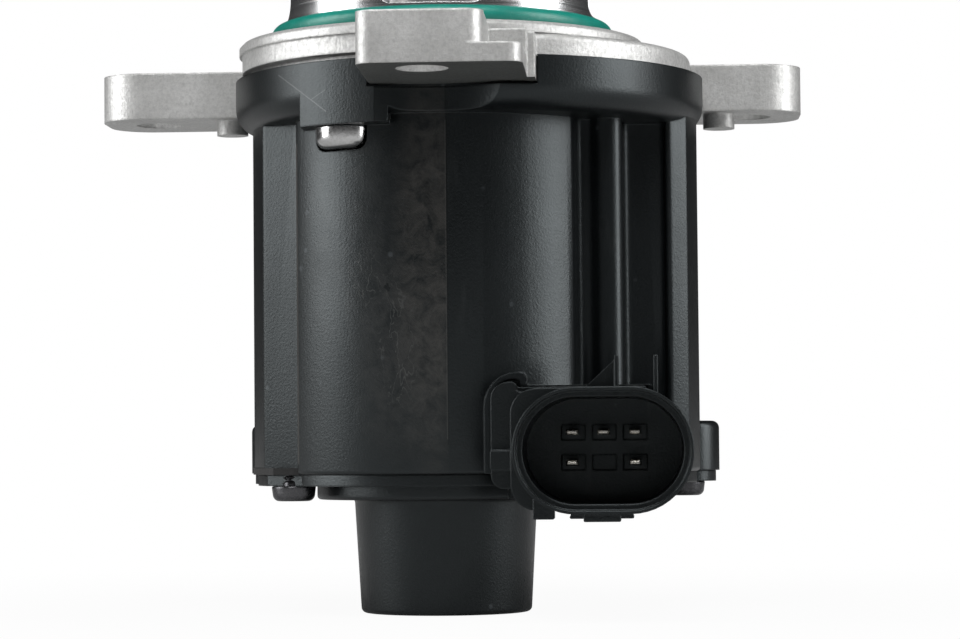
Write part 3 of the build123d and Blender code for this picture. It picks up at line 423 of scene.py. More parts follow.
evenLines = (2400.0, 2400.0, 2400.0)
finishes = {
    # The cast aluminium carries a painted shade colour (under) on its down-facing front.
    "cast_aluminium": blasted("blastedAluminium", under=(0.10, 0.105, 0.10), underY=-0.022, underAmount=0.9),
    "sleeve_steel": turned("turnedSleeve", (0.60, 0.61, 0.62), (0.76, 0.77, 0.78), (0.42, 0.42, 0.43), (0.16, 0.30)),
    "valve_steel": turned("groundValveSteel", (0.36, 0.35, 0.33), (0.50, 0.48, 0.45), (0.2, 0.19, 0.18), (0.24, 0.42)),
    "green_rubber": rubber(
        "greenSealRubber", (0.0, 0.150, 0.115), (0.004, 0.215, 0.165), (0.12, 0.36, 0.30), (0.30, 0.42)
    ),
    "black_rubber": rubber(
        "blackSealRubber", (0.012, 0.012, 0.012), (0.022, 0.022, 0.022), (0.08, 0.08, 0.08), (0.42, 0.6)
    ),
    "bush_bronze": blasted(
        "sinteredBronze", dark=(0.36, 0.22, 0.10), light=(0.50, 0.33, 0.16), pit=(0.12, 0.07, 0.03), metal=1.0
    ),
    "brass": turned("turnedBrass", (0.58, 0.42, 0.15), (0.72, 0.54, 0.22), (0.34, 0.22, 0.08), (0.18, 0.34)),
    "black_plastic": mouldedPlastic("blackHousingPlastic", plasticLook),
    "natural_plastic": plastic(
        "naturalAcetal", (0.62, 0.59, 0.50), (0.74, 0.71, 0.63), (0.85, 0.83, 0.78), (0.42, 0.28)
    ),
    "bearing_plastic": plastic(
        "filledBearingPlastic", (0.030, 0.027, 0.024), (0.05, 0.046, 0.04), (0.12, 0.11, 0.1), (0.55, 0.4)
    ),
    "bright_screw": turned(
        "brightScrew", (0.42, 0.42, 0.42), (0.62, 0.62, 0.62), (0.2, 0.19, 0.18), (0.12, 0.3),
        lines=evenLines, depth=0.00001, shade=0.35,
    ),
    "dark_screw": turned(
        "darkScrew", (0.035, 0.035, 0.038), (0.09, 0.09, 0.095), (0.2, 0.2, 0.2), (0.2, 0.4),
        lines=evenLines, depth=0.00001, shade=0.3,
    ),
    "spring_steel": turned(
        "drawnSpringWire", (0.36, 0.36, 0.37), (0.52, 0.52, 0.53), (0.2, 0.19, 0.18), (0.22, 0.4),
        lines=(900.0, 900.0, 900.0), depth=0.00002,
    ),
    "plated_steel": turned(
        "zincPlatedSteel", (0.50, 0.51, 0.50), (0.66, 0.67, 0.64), (0.38, 0.36, 0.28), (0.2, 0.36),
        lines=(1400.0, 300.0, 300.0), depth=0.00002,
    ),
    "core_steel": turned(
        "laminatedCoreSteel", (0.12, 0.12, 0.125), (0.2, 0.2, 0.21), (0.05, 0.05, 0.05), (0.3, 0.5),
        lines=(30.0, 30.0, 7000.0), depth=0.00006, shade=0.6,
    ),
    "copper": turned(
        "enamelledCopper", (0.48, 0.17, 0.07), (0.66, 0.27, 0.12), (0.25, 0.08, 0.03), (0.16, 0.3),
        lines=(1500.0, 1500.0, 1500.0), depth=0.00002,
    ),
    "ferrite": blasted(
        "pressedFerrite", dark=(0.018, 0.018, 0.02), light=(0.04, 0.04, 0.043), pit=(0.008, 0.008, 0.008), metal=0.2
    ),
    "carbon": blasted(
        "pressedCarbon", dark=(0.014, 0.014, 0.015), light=(0.03, 0.03, 0.031), pit=(0.1, 0.06, 0.04), metal=0.3
    ),
    "board_green": plastic("solderMask", (0.006, 0.06, 0.025), (0.012, 0.10, 0.045), (0.05, 0.2, 0.1), (0.36, 0.22)),
    "tinned_contact": turned(
        "tinnedContact", (0.66, 0.64, 0.58), (0.80, 0.78, 0.72), (0.34, 0.18, 0.08), (0.14, 0.3),
        lines=(3000.0, 400.0, 3000.0), depth=0.00001, shade=0.35,
    ),
}
slotOf = {row["node"]: row["material_slot"] for row in frame["record"]["subparts"]}
for nodeName, piece in cad.items():
    for place in piece.material_slots:
        place.material = finishes[slotOf[nodeName]]
print("finishes on", len(cad), "nodes")


# Mesh helpers: shapes are drawn and cut in millimetres, and finished() hands them over in metres

mergeGap = 0.002
sink = 0.01  # overlap of two bodies whose faces would else lie in one plane


def placed(name, data):
    made = bpy.data.objects.new(name, data)
    bpy.context.scene.collection.objects.link(made)
    return made


def cleaned(mesh, merge=True, change=None):
    # Faces outward, with no doubled points or loose edges
    fresh = bmesh.new()
    fresh.from_mesh(mesh)
    if merge:
        bmesh.ops.remove_doubles(fresh, verts=fresh.verts, dist=mergeGap)
        loose = [edge for edge in fresh.edges if not edge.link_faces]
        bmesh.ops.delete(fresh, geom=loose, context="EDGES")
    bmesh.ops.recalc_face_normals(fresh, faces=fresh.faces)
    if change:
        change(fresh)
    fresh.to_mesh(mesh)
    fresh.free()


def asObject(name, points, faces):
    mesh = bpy.data.meshes.new(name)
    mesh.from_pydata(points, [], faces)
    cleaned(mesh)
    return placed(name, mesh)


def onCircle(centre, radius, turn):
    return (centre[0] + radius * math.cos(turn), centre[1] + radius * math.sin(turn))


def arcPoints(centre, radius, start, end, steps):
    turns = [math.radians(start + (end - start) * step / steps) for step in range(steps + 1)]
    return [onCircle(centre, radius, turn) for turn in turns]


def roundedOutline(corners, steps=6):
    # Corners are (x, y, radius); each radius becomes an arc between its two sides.
    outline = []
    for number, (x, y, radius) in enumerate(corners):
        if not radius:
            outline.append((x, y))
            continue
        here = Vector((x, y))
        before = (Vector(corners[number - 1][:2]) - here).normalized()
        after = (Vector(corners[(number + 1) % len(corners)][:2]) - here).normalized()
        half = before.angle(after) / 2
        reach = radius / math.tan(half)
        centre = here + (before + after).normalized() * radius / math.sin(half)
        first = here + before * reach - centre
        last = here + after * reach - centre
        sweep = first.angle_signed(last)
        for step in range(steps + 1):
            turn = -sweep * step / steps
            spoke = Vector((
                first.x * math.cos(turn) - first.y * math.sin(turn),
                first.x * math.sin(turn) + first.y * math.cos(turn),
            ))
            outline.append(tuple(centre + spoke))
    return outline


def boxOutline(left, right, low, high, radius):
    return roundedOutline([(left, low, radius), (right, low, radius), (right, high, radius), (left, high, radius)])


def prism(name, outline, low, high, facing="up"):
    # facing "up" reads the outline as X and Y, "front" as X and Z with low and high along Y.
    count = len(outline)
    place = (lambda x, y, h: (x, y, h)) if facing == "up" else (lambda x, y, h: (x, h, y))
    points = [place(x, y, low) for x, y in outline] + [place(x, y, high) for x, y in outline]
    faces = [tuple(range(count)), tuple(range(2 * count - 1, count - 1, -1))]
    faces += [(i, (i + 1) % count, count + (i + 1) % count, count + i) for i in range(count)]
    return asObject(name, points, faces)


def lathe(name, profile, centre=(0.0, 0.0), steps=96):
    # The profile is (radius, z) points, turned round the upright axis at the centre.
    points = []
    for step in range(steps):
        turn = 2 * math.pi * step / steps
        points += [(*onCircle(centre, r, turn), z) for r, z in profile]
    rows, faces = len(profile), []
    for step in range(steps):
        near, far = step * rows, (step + 1) % steps * rows
        faces += [(near + k, near + (k + 1) % rows, far + (k + 1) % rows, far + k) for k in range(rows)]
    return asObject(name, points, faces)


def roundedProfile(points, steps=5):
    return roundedOutline(points, steps)


def plus(*pieces):
    return [("UNION", piece) for piece in pieces]


def minus(*pieces):
    return [("DIFFERENCE", piece) for piece in pieces]


def evaluated(name, base):
    depsgraph = bpy.context.evaluated_depsgraph_get()
    mesh = bpy.data.meshes.new_from_object(base.evaluated_get(depsgraph), depsgraph=depsgraph)
    bpy.data.objects.remove(base, do_unlink=True)
    mesh.name = name
    return mesh


def combined(name, base, tools, slot, sharp=32.0):
    # Tools are (operation, object) pairs; the result is one plain mesh.
    for kind, tool in tools:
        step = base.modifiers.new(tool.name, "BOOLEAN")
        step.operation = kind
        step.solver = "EXACT"
        step.object = tool
    mesh = evaluated(name, base)
    for kind, tool in tools:
        bpy.data.objects.remove(tool, do_unlink=True)
    return finished(name, mesh, slot, sharp)


def finished(name, mesh, slot, sharp):
    mesh.transform(Matrix.Scale(mm, 4))
    mesh.materials.clear()
    mesh.materials.append(finishes[slot])
    for face in mesh.polygons:
        face.use_smooth = True
    mesh.set_sharp_from_angle(angle=math.radians(sharp))
    made = placed(name, mesh)
    return made


# Housing: its outline is a ring of corners with a rounding each, filleted and raised by geometry nodes

housing = {
    "axis": (4.1, 4.0),
    "mainRadius": 30.4,
    "lobeRadius": 23.5,
    "lobeHalf": 18.55,
    "leftFlatY": -11.4,
    "leftTilt": 3.0,
    "rightFlatY": -12.2,
    "valleyX": 19.3,
    "fluteX": 22.3,
    "fluteRadius": 2.1,
    "pocketLeft": 24.4,
    "pocketRight": 30.0,
    "pocketY": -6.0,
    "ridgeY": -8.0,
    "ridgeTilt": 2.4,
    "bottom": -56.5,
    "top": -3.1,
    "bottomRound": 0.5,
    "wall": 2.2,
    "coverLugs": (5.0, 5.9),
    "coverLugTop": -49.6,
}


def circleReach(centre, radius, y, side):
    return centre[0] + side * math.sqrt(radius * radius - (y - centre[1]) ** 2)


def housingCorners(look, inset):
    # Ring of (x, y, rounding), counterclockwise from the left flat, all of it moved inwards by the inset.
    axis, main = look["axis"], look["mainRadius"] - inset
    lobe, half = look["lobeRadius"] - inset, look["lobeHalf"] - inset
    leftY, rightY = look["leftFlatY"] + inset, look["rightFlatY"] + inset
    ridgeY, pocketY = look["ridgeY"] + inset, look["pocketY"] + inset
    deep = max(look["fluteRadius"] - inset, 0.0)
    lobeFront = -math.sqrt(lobe * lobe - half * half)
    lobeTurn = math.degrees(math.atan2(lobeFront, half))
    back = leftY + look["leftTilt"]
    corners = [(circleReach(axis, main, back, -1), back, 0.9), (-half, leftY, 1.0), (-half, lobeFront, 1.3)]
    corners += [(x, y, 0.0) for x, y in arcPoints((0, 0), lobe, -180 - lobeTurn + 3, lobeTurn - 3, 44)]
    if deep > 0.5:
        left, right = look["fluteX"] - deep, look["fluteX"] + deep
        corners += [(half - 0.5, lobeFront, 1.5), (look["valleyX"], rightY, 1.3)]
        corners += [(left + 1.3, rightY - deep, 2.0), (right, rightY - deep, 1.9)]
    else:
        right = look["pocketLeft"] - inset
        corners += [(half, lobeFront, 1.3), (half, rightY, 0.9), (right, rightY, 0.7)]
    rightEnd = circleReach(axis, main, ridgeY + look["ridgeTilt"], 1)
    if rightEnd > look["pocketRight"] + inset + 0.8:
        corners += [(right, pocketY, 1.2), (look["pocketRight"] + inset, pocketY, 0.9)]
        corners += [(look["pocketRight"] + inset, ridgeY, 0.6), (rightEnd, ridgeY + look["ridgeTilt"], 0.6)]
    else:
        corners += [(right, pocketY, 1.2), (circleReach(axis, main, pocketY, 1), pocketY, 0.6)]
    start = math.degrees(math.atan2(corners[-1][1] - axis[1], corners[-1][0] - axis[0]))
    end = 360 + math.degrees(math.atan2(back - axis[1], corners[0][0] - axis[0]))
    corners += [(x, y, 0.0) for x, y in arcPoints(axis, main, start + 2, end - 2, 90)]
    return corners


def startShape(name, **inputs):
    # A geometry node tree, a node function that sets sockets by name, and the node of the inputs
    tree = bpy.data.node_groups.new(name, "GeometryNodeTree")
    for label, kind in {"Geometry": "Geometry", **inputs, "Finish": "Material"}.items():
        tree.interface.new_socket(label, in_out="INPUT", socket_type="NodeSocket" + kind)
    tree.interface.new_socket("Geometry", in_out="OUTPUT", socket_type="NodeSocketGeometry")

    def node(kind, **sockets):
        made = tree.nodes.new(kind)
        for label, value in sockets.items():
            made.inputs[label.replace("_", " ")].default_value = value
        return made

    return tree, node, node("NodeGroupInput")


def endShape(tree, node, entry, shape, links):
    # Links, then Realize Instances and Set Material
    real = node("GeometryNodeRealizeInstances")
    paint = node("GeometryNodeSetMaterial")
    leave = node("NodeGroupOutput")
    for one, two in links + [
        (shape, real.inputs["Geometry"]),
        (real.outputs["Geometry"], paint.inputs["Geometry"]),
        (entry.outputs["Finish"], paint.inputs["Material"]),
        (paint.outputs["Geometry"], leave.inputs["Geometry"]),
    ]:
        tree.links.new(one, two)
    return tree


def raisedPlan():
    # Mesh ring to curve, fillet by the cornerRound attribute, fill, raise, close the underside
    tree, node, entry = startShape("raisedPlan", Height="Float")
    ring = node("GeometryNodeMeshToCurve")
    rounding = node("GeometryNodeInputNamedAttribute", Name="cornerRound")
    rounding.data_type = "FLOAT"
    fillet = node("GeometryNodeFilletCurve")
    fillet.mode = "POLY"
    fillet.inputs["Limit Radius"].default_value = True
    fillet.inputs["Count"].default_value = 6
    fill = node("GeometryNodeFillCurve")
    fill.mode = "NGONS"
    raiseUp = node("GeometryNodeExtrudeMesh")
    raiseUp.mode = "FACES"
    raiseUp.inputs["Individual"].default_value = False
    lift = node("ShaderNodeCombineXYZ")
    under = node("GeometryNodeFlipFaces")
    join = node("GeometryNodeJoinGeometry")
    merge = node("GeometryNodeMergeByDistance", Distance=mergeGap)
    return endShape(tree, node, entry, merge.outputs["Geometry"], [
        (entry.outputs["Geometry"], ring.inputs["Mesh"]),
        (ring.outputs["Curve"], fillet.inputs["Curve"]),
        (rounding.outputs["Attribute"], fillet.inputs["Radius"]),
        (fillet.outputs["Curve"], fill.inputs["Curve"]),
        (fill.outputs["Mesh"], raiseUp.inputs["Mesh"]),
        (entry.outputs["Height"], lift.inputs["Z"]),
        (lift.outputs["Vector"], raiseUp.inputs["Offset"]),
        (fill.outputs["Mesh"], under.inputs["Mesh"]),
        (raiseUp.outputs["Mesh"], join.inputs["Geometry"]),
        (under.outputs["Mesh"], join.inputs["Geometry"]),
        (join.outputs["Geometry"], merge.inputs["Geometry"]),
    ])


planTree = raisedPlan()


def runNodes(name, points, tree, values, closed=False, attributes=None):
    # Draws the path, sets the tree's inputs by identifier, evaluates it once and keeps only the plain mesh.
    count = len(points)
    edges = [(i, (i + 1) % count) for i in range(count if closed else count - 1)]
    path = bpy.data.meshes.new(name + "Path")
    path.from_pydata(points, edges, [])
    for label, numbers in (attributes or {}).items():
        path.attributes.new(label, "FLOAT", "POINT").data.foreach_set("value", numbers)
    base = placed(name + "Path", path)
    step = base.modifiers.new(tree.name, "NODES")
    step.node_group = tree
    for item in tree.interface.items_tree:
        if item.in_out == "INPUT" and item.name in values:
            step[item.identifier] = values[item.name]
    return evaluated(name, base)


def housingBlock(name, inset, low, high, bottomRound=0.0):
    corners = housingCorners(housing, inset)
    values = {"Height": float(high - low), "Finish": finishes["black_plastic"]}
    rounds = {"cornerRound": [r for x, y, r in corners]}
    mesh = runNodes(name, [(x, y, 0.0) for x, y, r in corners], planTree, values, True, rounds)
    mesh.transform(Matrix.Translation((0, 0, low)))

    def roundRim(fresh):
        rim = [
            edge for edge in fresh.edges
            if all(abs(v.co.z - low) < 0.001 for v in edge.verts) and len(edge.link_faces) == 2
        ]
        bmesh.ops.bevel(fresh, geom=rim, offset=bottomRound, segments=4, profile=0.5, affect="EDGES")

    cleaned(mesh, False, roundRim if bottomRound else None)
    return placed(name, mesh)


collar = {
    "axis": (3.4, 4.0),
    "radius": 32.0,
    "bottom": -10.0,
    "round": 3.2,
    "cutLeft": -8.1,
    "cutRight": 13.8,
    "cutFront": -60,
    "cutBack": -24.3,
    "cutFloor": -6.9,
    "driver": ((0.0, -40.0), 15.5),
    "lugBottom": -11.4,
    "lugLeft": -17.3,
    "lugRight": -5.4,
    "lugBack": -8.0,
    "lugRadius": 5.75,
    "lugRound": 0.8,
    "niche": (4.15, -14.5, 1.5),
}
# Pitch circle centre, pitch radius and turns of the screws, and one cover screw off the circle
screwPitch = {"collar": ((3.5, 4.0), 27.6, (237.0, 148.0, 30.0)), "cover": ((3.5, 4.0), 31.2, (22.0, 148.4))}
cornerScrew = (-19.7, -8.7)


def placesOf(kind):
    centre, pitch, turns = screwPitch[kind]
    return [onCircle(centre, pitch, math.radians(turn)) for turn in turns]


collarPlaces = placesOf("collar")
coverPlaces = placesOf("cover") + [cornerScrew]


def rodAt(name, radius, low, high, place, lowRound=0.0, highRound=0.0, steps=48):
    profile = roundedProfile([(0, low, 0), (radius, low, lowRound), (radius, high, highRound), (0, high, 0)])
    return lathe(name, profile, place, steps)


def circleFront(axis, radius, x):
    return -math.sqrt(radius * radius - (x - axis[0]) ** 2)


def frontLug():
    axis, radius, left, right = collar["axis"], collar["radius"], collar["lugLeft"], collar["lugRight"]
    start, end = [math.degrees(math.atan2(circleFront(axis, radius, x), x - axis[0])) for x in (left, right)]
    outline = arcPoints(axis, radius, start, end, 10) + [(right, collar["lugBack"]), (left, collar["lugBack"])]
    return prism("frontLug", outline, collar["lugBottom"], housing["top"])


connector = {
    "centre": (21.7, -53.6),
    "width": 22.6,
    "height": 15.8,
    "rimY": -35.0,
    "leadWall": 0.45,
    "leadY": -32.3,
    "wall": 1.2,
    "floorY": -17.2,
    "plateFront": -29.0,
    "plateBack": -26.0,
    "noseFront": -22.9,
    "noseLeft": 6.4,
    "noseRight": 28.6,
    "noseTop": -45.2,
    "raisedRight": 11.9,
    "raisedTop": -43.5,
    "groove": 0.9,
    "insertLeft": 9.15,
    "insertRight": 27.3,
    "insertBack": -13.6,
    "insertTop": -45.4,
    "insertBottom": -59.6,
    "pinPitch": 4.0,
    "rowPitch": 3.9,
    "recess": (3.1, 2.0),
    "ribs": (23.45, 28.35),
    "ribThickness": 0.55,
    "ribTop": -41.7,
    "gap": 0.1,
    "wellFront": -40.0,
    "windowBack": -10.2,
    "plugWellDepth": 1.6,
    "noseWellFront": -30.0,
    "noseWellDepth": 1.5,
    "latchFoot": ((-4.3, 3.9), (3.2, -3.6), 0.55),
    "latchNose": ((-2.5, 2.2), (2.0, -2.3), 0.95),
    "footSides": (12.85, 15.5),
    "footDepth": (-30.5, -26.5),
    "gussetDepth": (-27.6, -26.8),
}


def oval(inset, steps=24):
    (x, z), half = connector["centre"], connector["height"] / 2 - inset
    reach = connector["width"] / 2 - inset - half
    return arcPoints((x + reach, z), half, -90, 90, steps) + arcPoints((x - reach, z), half, 90, 270, steps)


def corners4(left, right, low, high):
    return [(left, low), (right, low), (right, high), (left, high)]


def noseOutline(sides, bottom, tops, rounds):
    # The connector's backing: a box with a raised, rounded upper left corner. Rounds go counterclockwise.
    (left, right, step), (top, raised) = sides, tops
    places = [(left, bottom), (right, bottom), (right, top), (step, top), (step, raised), (left, raised)]
    return roundedOutline([(*place, size) for place, size in zip(places, rounds)])


def buildHousing():
    look, plug = housing, connector
    bottom, top = look["bottom"], look["top"]
    base = housingBlock("housingBody", 0.0, bottom, top, look["bottomRound"])
    radius, low = collar["radius"], collar["bottom"]
    band = roundedProfile([(0, low, 0), (radius, low, collar["round"]), (radius, top, 0), (0, top, 0)], 8)
    tools = plus(lathe("collarBand", band, collar["axis"], 160), frontLug())
    for place in collarPlaces[1:]:
        lug = (collar["lugRadius"], collar["lugBottom"], top - sink)
        tools += plus(rodAt("collarLug", *lug, place, collar["lugRound"]))
    for place, radius in zip(coverPlaces, look["coverLugs"]):
        tools += plus(rodAt("coverLug", radius, bottom + sink, look["coverLugTop"], place, 0.0, 1.0))
    left, right, step = plug["noseLeft"], plug["noseRight"], plug["raisedRight"]
    tops = (plug["noseTop"], plug["raisedTop"])
    nose = noseOutline((left, right, step), bottom + 2 * sink, tops, (0, 0, 1.0, 0.4, 0.8, 4.4))
    tools += plus(prism("plugNose", nose, plug["noseFront"], 0.0, "front"))
    frontCut = corners4(collar["cutLeft"], collar["cutRight"], collar["cutFront"], collar["cutBack"])
    driverPlace, driverRadius = collar["driver"]
    tools += minus(
        housingBlock("cavity", look["wall"], bottom - 1, top + 1),
        prism("frontCut", frontCut, collar["cutFloor"], top + 1),
        rodAt("driverBore", driverRadius, collar["lugBottom"] - 1, top + 1, driverPlace, steps=128),
    )
    nicheRadius, nicheBottom, nicheRound = collar["niche"]
    for place in collarPlaces:
        tools += minus(rodAt("headNiche", nicheRadius, nicheBottom, collar["lugBottom"], place, nicheRound))
    well = noseOutline(
        (left + plug["groove"], right - 0.6, step - 0.8), plug["insertBottom"] - 3, (tops[0] - 0.8, tops[1] - 0.9),
        (0, 0, 1.0, 0.4, 0.6, 2.8),
    )
    gap = plug["gap"]
    window = corners4(plug["insertLeft"] - gap, plug["insertRight"] + gap, bottom - 2, plug["insertTop"] + gap)
    tools += minus(
        prism("noseWell", well, plug["noseWellFront"], plug["noseFront"] + plug["noseWellDepth"], "front"),
        prism("insertWindow", window, plug["wellFront"], plug["windowBack"], "front"),
        prism("plugWell", oval(-gap), plug["wellFront"], plug["floorY"] + plug["plugWellDepth"], "front"),
    )
    return combined("actuatorHousing", base, tools, "black_plastic")


cover = {
    "edge": 0.5,
    "bottom": -58.0,
    "ringRadius": 17.4,
    "ringBottom": -59.9,
    "tubeTop": 12.35,
    "tubeEnd": 11.5,
    "tubeBottom": -75.2,
    "ringClear": (0, 17.5, -80, -57.7),
    "roomRight": 45,
    "roomFront": -40,
    "roomHeight": (-80, -50),
}


def buildCover():
    look, plug, gap = cover, connector, connector["gap"]
    bottom, ring, ringBottom = look["bottom"], look["ringRadius"], look["ringBottom"]
    base = housingBlock("coverPlate", look["edge"], bottom, housing["bottom"] - sink)
    spout = roundedProfile([
        (0, look["tubeBottom"], 0), (look["tubeEnd"], look["tubeBottom"], 0.7), (look["tubeTop"], ringBottom, 0.5),
        (ring, ringBottom, 0.5), (ring, bottom + 0.4, 0.1), (0, bottom + 0.4, 0),
    ])
    tools = plus(lathe("spout", spout, (0, 0), 128))
    for place, radius in zip(coverPlaces, housing["coverLugs"]):
        tools += plus(rodAt("coverEar", radius - look["edge"], bottom + sink, housing["bottom"] - 2 * sink, place))
    room = corners4(plug["insertLeft"] - gap, look["roomRight"], look["roomFront"], plug["insertBack"] + gap)
    tools += minus(prism("connectorRoom", room, *look["roomHeight"]))
    return combined("bottomCoverPiece", base, tools, "black_plastic")


def recessPlaces():
    (x, z), pitch, row = connector["centre"], connector["pinPitch"], connector["rowPitch"]
    return [(x + column * pitch, z + share * row) for share in (0.6, -0.4) for column in (-1, 0, 1)]


def buildConnector():
    plug = connector
    (x, z), half, tall = plug["centre"], plug["width"] / 2, plug["height"] / 2
    rim, front, back, nose, floor = [plug[key] for key in ("rimY", "plateFront", "plateBack", "noseFront", "floorY")]
    under = z - tall

    def block(name, outline, near, far):
        return prism(name, outline, near, far, "front")

    def underTab(name, wide, narrow, drop, near):
        # A tapered tab below the shroud: wide at its lower edge
        low = [(x + side, under - drop, 0.2) for side in wide]
        return block(name, roundedOutline(low + [(x + side, under + 1, 0) for side in narrow]), near, front)

    base = block("plugOval", oval(0.0), rim, floor + 1.4)
    left, right, low, high = x - half - 0.4, x + 2.0, under + 0.4, z + tall
    plate = [(left, low, 3.2), (right, low, 0.0), (right, high, 0.0), (left, high, 3.2)]
    flange = noseOutline(
        (plug["noseLeft"] + 1.0, plug["noseRight"] - 0.8, plug["raisedRight"] - 1.2), plug["insertBottom"] + 1.2,
        (plug["noseTop"] - 0.9, plug["raisedTop"] - 1.3), (1.6, 2.5, 1.0, 0.4, 0.6, 2.2),
    )
    insert = boxOutline(plug["insertLeft"], plug["insertRight"], housing["bottom"], plug["insertTop"], 0.4)
    tools = plus(
        block("plugPlate", roundedOutline(plate), front, back),
        block("plugFlange", flange, back - sink, nose + 1.3),
        block("insertBlock", insert, nose, plug["insertBack"]),
        underTab("latchFoot", *plug["latchFoot"], rim + 0.9),
        underTab("latchNose", *plug["latchNose"], rim + 0.5),
        block("sideTab", boxOutline(x - half - 3.0, x - half + 0.6, z - 2.4, z + 0.1, 0.35), front + 0.6, back + 0.5),
        block("underFoot", boxOutline(*plug["footSides"], under - 0.7, under + 2, 0.2), *plug["footDepth"]),
    )
    thin, ribTop = plug["ribThickness"] / 2, plug["ribTop"]
    for place in plug["ribs"]:
        rib = boxOutline(place - thin, place + thin, z + tall - 1.2, ribTop, 0.15)
        tools += plus(block("plugRib", rib, plug["footDepth"][0], nose + 0.5))
    firstRib = plug["ribs"][0]
    gusset = [(x - 2.6, z + tall - 0.2), (firstRib, z + tall - 0.2), (firstRib, ribTop - 0.2)]
    tools += plus(block("plugGusset", gusset, *plug["gussetDepth"]))
    tools += minus(
        block("leadIn", oval(plug["leadWall"]), rim - 1, plug["leadY"]),
        block("plugRoom", oval(plug["wall"]), rim - 1, floor),
    )
    wide, high = [size / 2 for size in plug["recess"]]
    for cx, cz in recessPlaces():
        recess = boxOutline(cx - wide, cx + wide, cz - high, cz + high, 0.15)
        tools += minus(block("pinRecess", recess, floor - 1, floor + 1.0))
    tools += minus(lathe("ringClear", corners4(*cover["ringClear"])))
    return combined("plugShroud", base, tools, "black_plastic", 28.0)


screws = {
    "collar": {
        "seat": -11.4, "head": 3.9, "tall": 2.9, "round": 1.5, "shank": 2.0, "top": -0.5, "pitch": 0.7,
        "star": 1.75, "starDepth": 1.6,
    },
    "cover": {
        "seat": -58.0, "head": 2.95, "tall": 2.0, "round": 0.9, "shank": 1.5, "top": -49.1, "pitch": 0.6,
        "star": 1.3, "starDepth": 1.2,
    },
}
threadLook = {"depth": 0.64, "plain": 0.4, "endChamfer": 0.35}


def threadedRod(name, look, place, steps=36, rows=6):
    # The radius follows the thread's phase, so that the crest climbs one pitch for each turn.
    low, high, radius, pitch = look["seat"] - look["tall"] / 2, look["top"], look["shank"], look["pitch"]
    count = int((high - low) / pitch * rows)
    points, faces = [], []
    for step in range(steps):
        turn = 2 * math.pi * step / steps
        points.append((*place, low))
        for row in range(count + 1):
            z = low + (high - low) * row / count
            phase = (z / pitch - step / steps) % 1
            cut = threadLook["depth"] * pitch * abs(2 * phase - 1) * (z > look["seat"] + threadLook["plain"])
            reach = radius - (threadLook["endChamfer"] if row == count else cut)
            points.append((*onCircle(place, reach, turn), z))
        points.append((*place, high))
    column = count + 3
    for step in range(steps):
        near, far = step * column, (step + 1) % steps * column
        faces += [(near + k, near + k + 1, far + k + 1, far + k) for k in range(column - 1)]
    return asObject(name, points, faces)


def starOutline(place, reach, points=6, steps=72):
    # Six soft lobes, as in a star drive
    turns = [2 * math.pi * step / steps for step in range(steps)]
    return [onCircle(place, reach * (0.86 + 0.14 * math.cos(points * turn)), turn) for turn in turns]


def buildScrews(name, kind, places, slot):
    look, tools = screws[kind], []
    seat, head, under = look["seat"], look["head"], look["seat"] - look["tall"]
    profile = roundedProfile([(0, under, 0), (head - 0.25, under, look["round"]), (head, seat, 0.2), (0, seat, 0)], 8)
    for place in places:
        tools += plus(lathe(name + "Head", profile, place, 64), threadedRod(name + "Thread", look, place))
        tools += minus(prism(name + "Star", starOutline(place, look["star"]), under - 1, under + look["starDepth"]))
    base = tools.pop(0)[1]
    return combined(name, base, tools, slot, 35.0)


spring = {
    "radius": 8.4, "wire": 0.75, "slack": 0.01, "turns": 5.5, "bottom": -23.05, "top": -3.15, "perTurn": 32,
    "lift": 7.0,
}


def sweptWire():
    # Points to curve, with a round wire along it and closed ends
    tree, node, entry = startShape("sweptWire", Wire="Float")
    path = node("GeometryNodeMeshToCurve")
    ring = node("GeometryNodeCurvePrimitiveCircle", Resolution=14)
    sweep = node("GeometryNodeCurveToMesh", Fill_Caps=True)
    return endShape(tree, node, entry, sweep.outputs["Mesh"], [
        (entry.outputs["Geometry"], path.inputs["Mesh"]),
        (path.outputs["Curve"], sweep.inputs["Curve"]),
        (entry.outputs["Wire"], ring.inputs["Radius"]),
        (ring.outputs["Curve"], sweep.inputs["Profile Curve"]),
    ])


def buildSpring():
    look = spring
    low, high = look["bottom"] + look["wire"], look["top"] - look["wire"]
    count = int(look["turns"] * look["perTurn"])
    points = []
    for step in range(count + 1):
        share = step / count
        place = onCircle((0, 0), look["radius"], 2 * math.pi * look["turns"] * share)
        points.append((*place, low + (high - low) * share))
    values = {"Wire": look["wire"] - look["slack"], "Finish": finishes["spring_steel"]}
    mesh = runNodes("returnSpring", points, sweptWire(), values)
    cleaned(mesh)
    return finished("returnSpring", mesh, "spring_steel", 60.0)


actuatorHousing = buildHousing()
actuatorHousing.data.materials[0] = mouldedPlastic("markedHousingPlastic", {**plasticLook, "marks": housingLook})
bottomCoverPiece = buildCover()
plugShroud = buildConnector()
collarScrewPiece = buildScrews("collarScrewSet", "collar", collarPlaces, "bright_screw")
coverScrewPiece = buildScrews("coverScrewSet", "cover", coverPlaces, "dark_screw")
springPiece = buildSpring()
for piece, node in (
    (actuatorHousing, "actuator_housing"),
    (bottomCoverPiece, "bottom_cover"),
    (plugShroud, "connector_insert"),
    (collarScrewPiece, "collar_screws"),
    (coverScrewPiece, "cover_screws"),
    (springPiece, "return_spring"),
):
    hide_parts(node)
    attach(piece, "valve_housing")
    print(piece.name, len(piece.data.polygons), "faces")
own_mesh(springPiece)
print("housing, cover, connector, screws and spring are built")


# Stage, lights and camera

def stageSheet(name, half, height, finish):
    sheet = bpy.data.meshes.new(name)
    sheet.from_pydata([(*corner, height) for corner in corners4(-half, half, -half, half)], [], [(0, 1, 2, 3)])
    sheet.materials.append(finish)
    placed(name, sheet)


